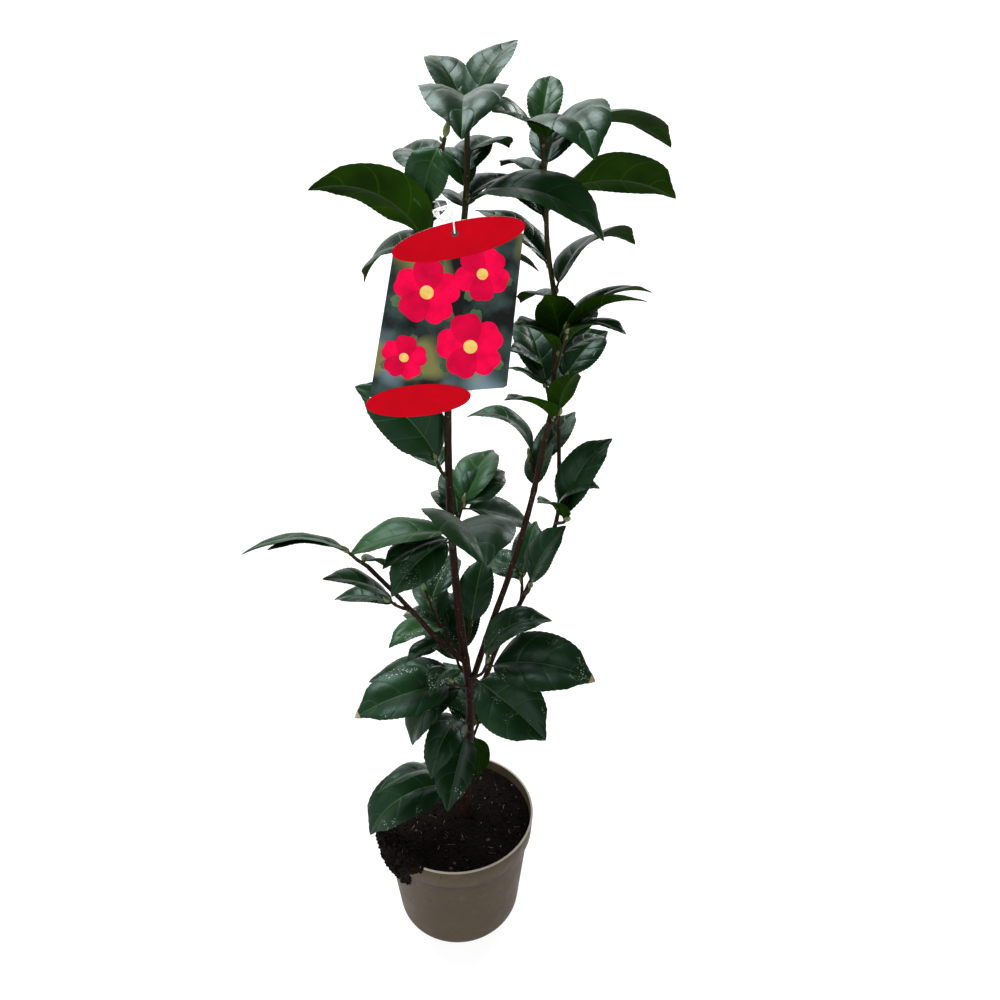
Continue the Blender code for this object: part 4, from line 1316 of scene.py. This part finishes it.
def dusted_plastic(name, pot):
    """Moulded plastic: patches of dust, flecks of soil, painted shade in the crease under the band and a
    painted highlight along the brim.
    """
    finish = Finish(name, Specular_IOR_Level=0.12)
    body = finish.mottle(finish.place, 38.0, 2.0, *shades(pot.colour, 0.90, 1.12))["Color"]
    dust = finish.noise(finish.place, 75.0, 8.0, Roughness=0.7)
    dusty = finish.mix(finish.fade(dust, 0.56, 0.78, 0.0, 0.55), body, tinted(pot.dust_colour))
    near, drawn = finish.spots(95.0, 0.05, 0.12, 1.0)
    chosen = finish.node("ShaderNodeSeparateColor", {0: drawn})[0]
    fleck = finish.maths("MULTIPLY", near, finish.maths("GREATER_THAN", chosen, 0.86))
    flecked = finish.mix(fleck, dusty, SOIL_FLECK)
    level, band_foot = finish.level(), pot.height - pot.band_depth
    # Painted shade: a dark band is painted on the wall just under the band's ledge, where its shade falls.
    nearing = finish.fade(level, band_foot - 11 * MM, band_foot - 3.2 * MM)
    below = finish.maths("LESS_THAN", level, band_foot + 0.1 * MM)
    painted_crease_shade = finish.maths("MULTIPLY", finish.maths("MULTIPLY", nearing, below), 0.62)
    crease_shaded = finish.mix(painted_crease_shade, flecked, CREASE_SHADE_PAINT)
    # Painted highlight: the top of the rim is painted paler, as the light from above falls on it.
    brim = finish.fade(level, pot.height - 1.1 * MM, pot.height - 0.4 * MM, 0.0, 0.85)
    finish.set_colour(finish.mix(brim, crease_shaded, BRIM_HIGHLIGHT_PAINT))
    finish.set_roughness(dust, (0.42, 0.70), 0.3, 0.75)
    finish.set_relief(finish.noise(finish.place, 1300.0, 2.0), 0.08 * MM)
    return finish


class CAMELLIA_OT_pot(bpy.types.Operator):
    """Turn the nursery pot with its band and rounded rim"""

    bl_idname = "camellia.pot"
    bl_label = "Pot"

    def execute(self, context):
        pot = context.scene.camellia_pot
        shell = turned(pot_profile(pot), pot.sides)
        piece = one_shape("pot_shell", *shell, dusted_plastic("pot_plastic", pot), sharp=50)
        hand_over(piece, "pot_plastic", "pot")
        return {"FINISHED"}


def mix_height(mix, x, y):
    """Level of the mix at a place, with large lumps and fine ones."""
    lump = noise.fractal(Vector((x * 45, y * 45, 3.7)), 0.9, 2.1, 4)
    fine = noise.noise(Vector((x * 420, y * 420, 1.3)))
    return mix.level + mix.roughness * (0.55 * lump + 0.22 * fine)


def mix_body(pot, mix):
    """The filling of the pot with a lumpy top: its points and faces, and the top faces alone."""
    brim = pot.rim_radius - pot.wall - 0.5 * MM
    profile = [*wall_profile(pot, pot.wall + 0.4 * MM), (brim, mix.level - 2 * MM)]
    first_top = 1 + (len(profile) - 1) * MIX_SIDES
    for number in range(MIX_RINGS):
        profile.append((brim * (MIX_RINGS - number) / (MIX_RINGS + 0.6), mix.level))
    profile.append((0, mix.level))
    points, faces = turned(profile, MIX_SIDES)
    on_top = mix.level - 1e-7
    points = [(x, y, mix_height(mix, x, y) if z >= on_top else z) for x, y, z in points]
    return points, faces, [face for face in faces if min(face) >= first_top]


def spill_line(pot, mix):
    """The spilled clump's middle line as (radius, height) points, from the mix over the rim."""
    band_foot = pot.height - pot.band_depth
    inside, wall_top = pot.rim_radius - pot.wall, pot_radius(pot, band_foot)
    tail = band_foot - 22 * MM
    return (
        (inside - 16 * MM, mix.level - 1.0 * MM),
        (inside - 6 * MM, mix.level + 1.5 * MM),
        (inside - 1 * MM, pot.height - 3 * MM),
        (pot.rim_radius - pot.wall / 2, pot.height),
        (pot.rim_radius + 0.2 * MM, pot.height - 3 * MM),
        (pot.rim_radius - 0.4 * MM, band_foot + 3 * MM),
        (wall_top + 0.2 * MM, band_foot - 3 * MM),
        (pot_radius(pot, tail), tail),
    )


def spill_surface(pot, mix):
    """The clump of mix that has spilled over the rim: a lumpy closed pad over rim and wall."""
    columns, rows = 26, 44
    middle, spread = math.radians(SPILL_AZIMUTH), math.radians(SPILL_SPREAD)
    path = smooth_path([Vector((radius, 0, height)) for radius, height in spill_line(pot, mix)], 6)
    points, faces = [], []
    for layer in (1, 0):
        for row in range(rows + 1):
            share = row / rows
            spot = point_along(path, share)
            ahead = point_along(path, min(1.0, share + 0.02)) - point_along(path, max(0.0, share - 0.02))
            outward = Vector((-ahead.z, 0, ahead.x)).normalized()
            narrow = 1.0 - 0.72 * ramp(share, 0.42, 1.0) ** 0.7
            drift = 0.16 * math.sin(share * 9.0) * ramp(share, 0.45, 0.9)
            ends = ramp(share, 0.0, 0.12) * ramp(1 - share, 0.0, 0.10)
            for column in range(columns + 1):
                side = 2 * column / columns - 1
                angle = middle + spread * (side * narrow + drift)
                ragged = noise.noise(Vector((side * 2.3, share * 7.0, 4.1)))
                body = max(0.0, 1 - abs(side) ** 2.2 - 0.25 * abs(ragged)) ** 0.6 * ends
                lumps = 0.72 + 0.55 * noise.noise(Vector((angle * 14, share * 16, 0.7)))
                high = mix.spill * body * lumps * (1.0 - 0.35 * ramp(share, 0.6, 1.0))
                place = spot + outward * (layer * max(high, 0.0) - 0.7 * MM)
                points.append((place.x * math.cos(angle), place.x * math.sin(angle), place.z))
    width = columns + 1
    size = width * (rows + 1)
    for row in range(rows):
        for column in range(columns):
            a = row * width + column
            faces.append((a, a + width, a + width + 1, a + 1))
            faces.append((size + a, size + a + 1, size + a + width + 1, size + a + width))
    outer = faces[::2]
    for row in range(rows):
        a, b = row * width, row * width + columns
        faces.append((a, size + a, size + a + width, a + width))
        faces.append((b, b + width, size + b + width, size + b))
    for column in range(columns):
        a, b = column, rows * width + column
        faces.append((a, a + 1, size + a + 1, size + a))
        faces.append((b, size + b, size + b + 1, b + 1))
    return points, faces, outer


class CAMELLIA_OT_potting_mix(bpy.types.Operator):
    """Fill the pot with mix, strew its grains, perlite, chips and fibres, and spill a clump"""

    bl_idname = "camellia.potting_mix"
    bl_label = "Potting Mix"

    def execute(self, context):
        pot, mix = context.scene.camellia_pot, context.scene.camellia_mix
        peat = mottled("peat", *shades(mix.colour, 0.5, 3.5), 160.0, contrast=3.0, rough=(0.72, 0.95),
                       bump=1.2 * MM, bump_scale=420.0, Specular_IOR_Level=0.05)
        crumbs = mottled("peat_crumbs", *shades(mix.colour, 0.6, 7.0), 300.0, contrast=4.0,
                         rough=(0.6, 0.9), bump=0.3 * MM, bump_scale=1500.0, Specular_IOR_Level=0.03)
        chips = mottled("bark_chips", *shades(mix.chip_colour, 0.6, 1.5), 250.0, rough=(0.6, 0.8),
                        bump=0.2 * MM, bump_scale=900.0)
        perlite = mottled("perlite", *shades(mix.perlite_colour, 0.8, 1.2), 400.0, rough=(0.7, 0.9),
                          bump=0.2 * MM, bump_scale=2000.0)
        fibres = mottled("fine_roots", *shades(mix.fibre_colour, 0.6, 1.5), 200.0, rough=(0.6, 0.8))
        points, faces, top = mix_body(pot, mix)
        hand_over(one_shape("mix_body", points, faces, peat, sharp=80), "potting_mix", "potting_mix")
        spill_points, spill_faces, outer = spill_surface(pot, mix)
        hand_over(one_shape("mix_spill", spill_points, spill_faces, peat, sharp=80), "potting_mix")
        crumb_tree = scatter_tree("strew_crumbs", crumb)
        fibre_tree = scatter_tree("strew_fibres", fibre)
        grain, dense = mix.grain_size, mix.grain_density
        on_top, on_spill = (points, top), (spill_points, outer)
        # Name, ground, tree, density, size, smallest share of the size, tilt and finish.
        jobs = (
            ("mix_grains", on_top, crumb_tree, dense, grain, 0.22, math.pi, crumbs),
            ("mix_chips", on_top, crumb_tree, dense * 0.005, grain * 1.9, 0.5, 0.5, chips),
            ("mix_perlite", on_top, crumb_tree, mix.perlite_density, grain * 0.45, 0.4, math.pi, perlite),
            ("mix_fibres", on_top, fibre_tree, mix.fibre_density, 6.0 * MM, 0.2, 0.35, fibres),
            ("spill_grains", on_spill, crumb_tree, dense * 0.9, grain * 1.7, 0.15, math.pi, crumbs),
            ("spill_fibres", on_spill, fibre_tree, mix.fibre_density, 3.5 * MM, 0.3, 0.5, fibres),
        )
        for number, (name, ground, tree, density, size, smallest, tilt, finish) in enumerate(jobs):
            piece = grow_with(name, ground[0], [], {}, tree, {
                "Density": density, "Size": size, "Smallest": smallest, "Tilt": tilt,
                "Seed": mix.seed + number, "Finish": finish.material}, ground[1])
            hand_over(piece, "potting_mix")
        return {"FINISHED"}


# ---------------------------------------------------------------- tag


def reach_of_edge(angle, start, end):
    """How far a ray from the tag's centre runs before it crosses the line of a card's edge."""
    ray = Vector((math.cos(angle), math.sin(angle)))
    outward = Vector((end[1] - start[1], start[0] - end[0]))
    ahead = ray.dot(outward)
    return Vector(start).dot(outward) / ahead if ahead > 1e-6 else math.inf


def reach_of_oval(angle, centre_x, centre_y, half_width, half_height, turn):
    """How far a ray from the tag's centre runs before it leaves an oval."""
    tilt = math.radians(turn)
    ray = Vector((math.cos(angle - tilt) / half_width, math.sin(angle - tilt) / half_height))
    centre = Matrix.Rotation(-tilt, 2) @ Vector((centre_x, centre_y))
    centre = Vector((centre.x / half_width, centre.y / half_height))
    along = ray.dot(centre)
    inside = along ** 2 - ray.length_squared * (centre.length_squared - 1)
    return (along + math.sqrt(inside)) / ray.length_squared if inside > 0 and along > 0 else 0


def card_outline(bands=(), sides=144):
    """Points round the card, and round the ovals that stand out of it, in millimetres."""
    edges = list(zip(TAG_CORNERS, TAG_CORNERS[1:] + TAG_CORNERS[:1]))
    outline = []
    for index in range(sides):
        angle = math.tau * index / sides
        reach = min(reach_of_edge(angle, *edge) for edge in edges)
        reach = max([reach] + [reach_of_oval(angle, *band) for band in bands])
        outline.append((reach * math.cos(angle), reach * math.sin(angle)))
    return outline


def oval_outline(centre_x, centre_y, half_width, half_height, turn, sides=64):
    tilt = Matrix.Rotation(math.radians(turn), 2)
    outline = []
    for x, y, _ in ring(1.0, 0.0, sides):
        spot = tilt @ Vector((half_width * x, half_height * y))
        outline.append((centre_x + spot.x, centre_y + spot.y))
    return outline


def petal_outline(centre, angle, length, width):
    """A rounded petal with a notch at its end, from a blossom's centre outwards."""
    outline = []
    for index in range(24):
        turn = math.tau * index / 24
        along = 0.5 - 0.5 * math.cos(turn)
        half = width * 0.5 * math.sin(turn) * (0.55 + 0.45 * along)
        reach = length * along * (1 - 0.07 * math.exp(-((turn - math.pi) / 0.28) ** 2))
        outline.append((centre[0] + reach * math.cos(angle) - half * math.sin(angle),
                        centre[1] + reach * math.sin(angle) + half * math.cos(angle)))
    return outline


def sheet(parts, outline, depth, back, slot):
    """A flat plate in the card's plane, from depth in front of the middle to back."""
    count = len(outline)
    area = sum(a[0] * b[1] - b[0] * a[1] for a, b in zip(outline, outline[1:] + outline[:1]))
    if area < 0:
        outline = outline[::-1]
    flat = [(Vector((x, 0, z)) + Vector(TAG_PLACE)) * MM for x, z in outline]
    points = [spot + Vector((0, -distance, 0)) for distance in (depth, back) for spot in flat]
    faces = [tuple(range(count)), tuple(reversed(range(count, 2 * count)))]
    for index in range(count):
        after = (index + 1) % count
        faces.append((index, count + index, count + after, after))
    parts.add(points, faces, slot)


def blurred_print(name, colour):
    """Printed foliage out of focus: dark green with olive and grey-blue blotches."""
    finish = mottled(name, *shades(colour, 0.12, 1.6), 55.0, contrast=4.0, rough=(0.30, 0.36),
                     Specular_IOR_Level=0.10)
    for scale, low, tint in PRINT_BLOTCHES:
        cloud = finish.noise(finish.stretched((1.0, 1.0, 1.0), (scale, 0.0, 1.7)), scale, 1.0)
        finish.set_colour(finish.mix(finish.fade(cloud, low, low + 0.16, 0.0, 0.85), finish.colour, tint))
    return finish


def print_card(look):
    """The card with its printed ground, leaves, blossoms and bands, and a near-black disc of painted shade
    for its hole, each a thin plate.
    """
    parts = Parts()
    half, step = look.thickness / 2, look.layer
    sheet(parts, card_outline(TAG_BANDS), half, -half, TAG_CARD)

    def lay(outline, level, slot):
        sheet(parts, outline, half + step * level, half - step, slot)

    lay(card_outline(), 1, TAG_GROUND)
    draw = random.Random(3)
    for centre, size, turn in BLOSSOMS:
        for number in range(3):
            angle = turn + 1.1 + math.tau * (number + draw.uniform(-0.1, 0.1)) / 3
            lay(petal_outline(centre, angle, size * 1.15, size * 0.5), 2, TAG_LEAF)
    level = 3
    for centre, size, turn in BLOSSOMS:
        for number in (0, 2, 4, 1, 3):
            petal = petal_outline(centre, turn + math.tau * number / 5, size, size * 1.1)
            lay(petal, level, TAG_PETAL_SHADE if number % 2 else TAG_PETAL)
            level += 0.25
        lay(oval_outline(*centre, size * 0.2, size * 0.2, 0, 24), level + 0.5, TAG_STAMENS)
        level += 0.75
    for band in TAG_BANDS:
        lay(oval_outline(*band), level + 1, TAG_BAND)
    # Painted shade: a near-black disc laid over the card stands for the hole's opening.
    lay(oval_outline(*TAG_HOLE, TAG_HOLE_RADIUS, TAG_HOLE_RADIUS, 0, 24), level + 2, TAG_HOLE_SHADE)
    return parts


def strap_path(twig):
    """The white loop: from the card's hole in loose turns over it, then round the twig."""
    hole = (Vector(TAG_PLACE) + Vector((TAG_HOLE[0], STRAP_FRONT, TAG_HOLE[1]))) * MM
    path = [hole, hole + Vector((-0.4, -0.6, 5)) * MM]
    for number in range(15):
        angle = math.radians(10) + math.tau * 2.6 * number / 14
        path.append(hole + Vector((
            -6 + math.cos(angle) * (5.2 + 1.6 * math.sin(number * 2.1)),
            -0.8 + 0.9 * math.sin(number * 1.3),
            11 + math.sin(angle) * (3.4 + 1.1 * math.sin(number * 1.6)))) * MM)
    path.append((hole + Vector((-6, 0, 13)) * MM).lerp(twig, 0.6))
    for number in range(17):
        angle = math.radians(-70) + math.tau * 2.2 * number / 16
        radius = (2.4 + 1.0 * math.sin(number * 1.7) ** 2) * MM
        rise = (number * 0.55 - 4.5 + 1.2 * math.sin(number * 2.3)) * MM
        path.append(twig + Vector((math.cos(angle) * radius, math.sin(angle) * radius, rise)))
    path += [twig + Vector((4, -4, 3)) * MM, twig + Vector((6.5, -7, -1)) * MM]
    return smooth_path(path, 6)


class CAMELLIA_OT_tag(bpy.types.Operator):
    """Cut the card tag, print its plain blossoms and bands, and tie its white loop"""

    bl_idname = "camellia.tag"
    bl_label = "Card Tag"

    def execute(self, context):
        look = context.scene.camellia_tag
        printed, petal = {"rough": (0.30, 0.36), "Specular_IOR_Level": 0.03}, look.petal_colour
        leaf = {"rough": (0.30, 0.36), "Specular_IOR_Level": 0.1}
        finishes = [
            mottled("tag_card", (0.75, 0.75, 0.74, 1), (0.85, 0.85, 0.84, 1), 50.0, rough=(0.4, 0.5)),
            blurred_print("tag_ground", look.ground_colour),
            mottled("tag_band", *shades(look.band_colour, 0.9, 1.1), 60.0, **printed),
            mottled("tag_petal", *shades(petal, 0.80, 1.25), 110.0, **printed),
            mottled("tag_petal_shade", *shades(petal, 0.66, 0.95), 110.0, **printed),
            mottled("tag_stamens", (0.75, 0.42, 0.05, 1), (0.85, 0.62, 0.15, 1), 300.0, rough=(0.3, 0.35)),
            mottled("tag_leaf", (0.030, 0.075, 0.030, 1), (0.085, 0.15, 0.070, 1), 90.0, **leaf),
            mottled("tag_hole", (0.03, 0.03, 0.03, 1), (0.05, 0.05, 0.05, 1), 90.0, rough=(0.7, 0.8)),
        ]
        hand_over(print_card(look).build("tag_card", finishes, sharp=30), "label_card", "label")
        paths, _ = grow_plant()
        twig, _ = point_at_height(paths["upper_left"], STRAP_HEIGHT * MM)
        path = strap_path(twig)
        axes = Axes()
        axes.add(path, [look.strap_radius] * len(path), [0.0] * len(path))
        white = mottled("white_plastic", *shades(look.strap_colour, 0.92, 1.05), 90.0, rough=(0.35, 0.45))
        hand_over(axes.sweep("tag_loop", 8, 0.0, 100.0, white), "label_card", "label")
        return {"FINISHED"}


# ---------------------------------------------------------------- stage


def lay_floor(look):
    """A round floor that curves up at its edge and gives off an even light."""
    sides, bend = 96, 14
    level_radius = look.floor_radius - look.floor_bend
    points = ring(level_radius, 0.0, sides)
    for step in range(1, bend + 1):
        angle = math.pi / 2 * step / bend
        points += ring(look.floor_radius - look.floor_bend * (1 - math.sin(angle)),
                       look.floor_bend * (1 - math.cos(angle)), sides)
    points += ring(look.floor_radius, look.floor_bend + 0.9, sides)
    faces = []
    for low in range(0, len(points) - sides, sides):
        high = low + sides
        for side in range(sides):
            after = (side + 1) % sides
            faces.append((low + side, high + side, high + after, low + after))
    faces.append(tuple(range(sides)))
    paint = mottled("floor_paint", *shades(look.floor_colour, 0.99, 1.01), 3.0, rough=(0.8, 0.9))
    light = paint.fade(paint.level(), 1.1, 2.2, 1.0, 0.4)
    glow = paint.node("ShaderNodeCombineColor", {0: light, 1: light, 2: light})[0]
    paint.link(glow, paint.shader.inputs["Emission Color"])
    paint.shader.inputs["Emission Strength"].default_value = look.floor_glow
    one_shape("floor", points, faces, paint)


def soft_light(name, power, size, place, aim_height, colour):
    """A round lamp that shines on a point over the pot's middle."""
    data = bpy.data.lights.new(name, "AREA")
    data.shape = "DISK"
    data.size = size
    data.energy = power
    data.color = colour
    lamp = bpy.data.objects.new(name, data)
    lamp.location = place
    ahead = Vector((0.0, 0.0, aim_height)) - Vector(place)
    lamp.rotation_euler = ahead.to_track_quat("-Z", "Y").to_euler()
    bpy.context.scene.collection.objects.link(lamp)


class CAMELLIA_OT_stage(bpy.types.Operator):
    """Lay the pale floor, hang the soft lights and set up the camera"""

    bl_idname = "camellia.stage"
    bl_label = "Stage"

    def execute(self, context):
        look = context.scene.camellia_stage
        lay_floor(look)
        context.scene.view_settings.view_transform = "Standard"
        # Name, power, width, place, height of the point it shines on, and colour.
        for lamp in (
                ("key_light", look.key, 2.2, (-0.9, 1.0, 4.1), 0.3, (0.93, 0.98, 1.0)),
                ("front_light", look.side, 1.0, (-0.9, -1.5, 1.7), 0.4, (1.0, 0.99, 0.97)),
                ("back_light", look.back, 1.3, (-0.3, 2.2, 2.1), 0.3, (0.95, 0.98, 1.0)),
                ("rim_light", look.rim, 0.5, (1.3, 1.7, 1.5), 0.35, (1.0, 1.0, 1.0))):
            soft_light(*lamp)
        sky = bpy.data.worlds.new("sky")
        sky.use_nodes = True
        background = sky.node_tree.nodes["Background"]
        background.inputs["Color"].default_value = (0.93, 0.96, 1.0, 1.0)
        background.inputs["Strength"].default_value = look.sky
        context.scene.world = sky
        data = bpy.data.cameras.new("camera")
        data.lens = CAMERA_LENS
        data.sensor_width = CAMERA_SENSOR
        camera = bpy.data.objects.new("camera", data)
        camera.location = CAMERA_PLACE
        camera.rotation_euler = (math.radians(90 - CAMERA_PITCH), 0, 0)
        context.scene.collection.objects.link(camera)
        context.scene.camera = camera
        return {"FINISHED"}


OPERATORS = (CAMELLIA_OT_stage, CAMELLIA_OT_limbs, CAMELLIA_OT_twigs, CAMELLIA_OT_leaves,
             CAMELLIA_OT_buds, CAMELLIA_OT_pot, CAMELLIA_OT_potting_mix, CAMELLIA_OT_tag)
SETTINGS = {
    "camellia_leaves": LeafSettings, "camellia_stems": StemSettings, "camellia_pot": PotSettings,
    "camellia_mix": MixSettings, "camellia_tag": TagSettings, "camellia_stage": StageSettings,
}


class CAMELLIA_PT_panel(bpy.types.Panel):
    """Lists the pieces of the plant and their sizes"""

    bl_idname = "CAMELLIA_PT_panel"
    bl_label = "Potted Camellia"
    bl_space_type = "VIEW_3D"
    bl_region_type = "UI"
    bl_category = "Camellia"

    def draw(self, context):
        for operator in OPERATORS:
            self.layout.operator(operator.bl_idname)
        for name in SETTINGS:
            settings = getattr(context.scene, name)
            box = self.layout.box()
            for key in type(settings).__annotations__:
                box.prop(settings, key)


def register():
    for name, settings in SETTINGS.items():
        bpy.utils.register_class(settings)
        setattr(bpy.types.Scene, name, PointerProperty(type=settings))
    for operator in OPERATORS:
        bpy.utils.register_class(operator)
    bpy.utils.register_class(CAMELLIA_PT_panel)


def unregister():
    bpy.utils.unregister_class(CAMELLIA_PT_panel)
    for operator in reversed(OPERATORS):
        bpy.utils.unregister_class(operator)
    for name, settings in SETTINGS.items():
        delattr(bpy.types.Scene, name)
        bpy.utils.unregister_class(settings)


def main():
    register()
    for operator in OPERATORS:
        group, action = operator.bl_idname.split(".")
        getattr(getattr(bpy.ops, group), action)()


if __name__ == "__main__":
    main()
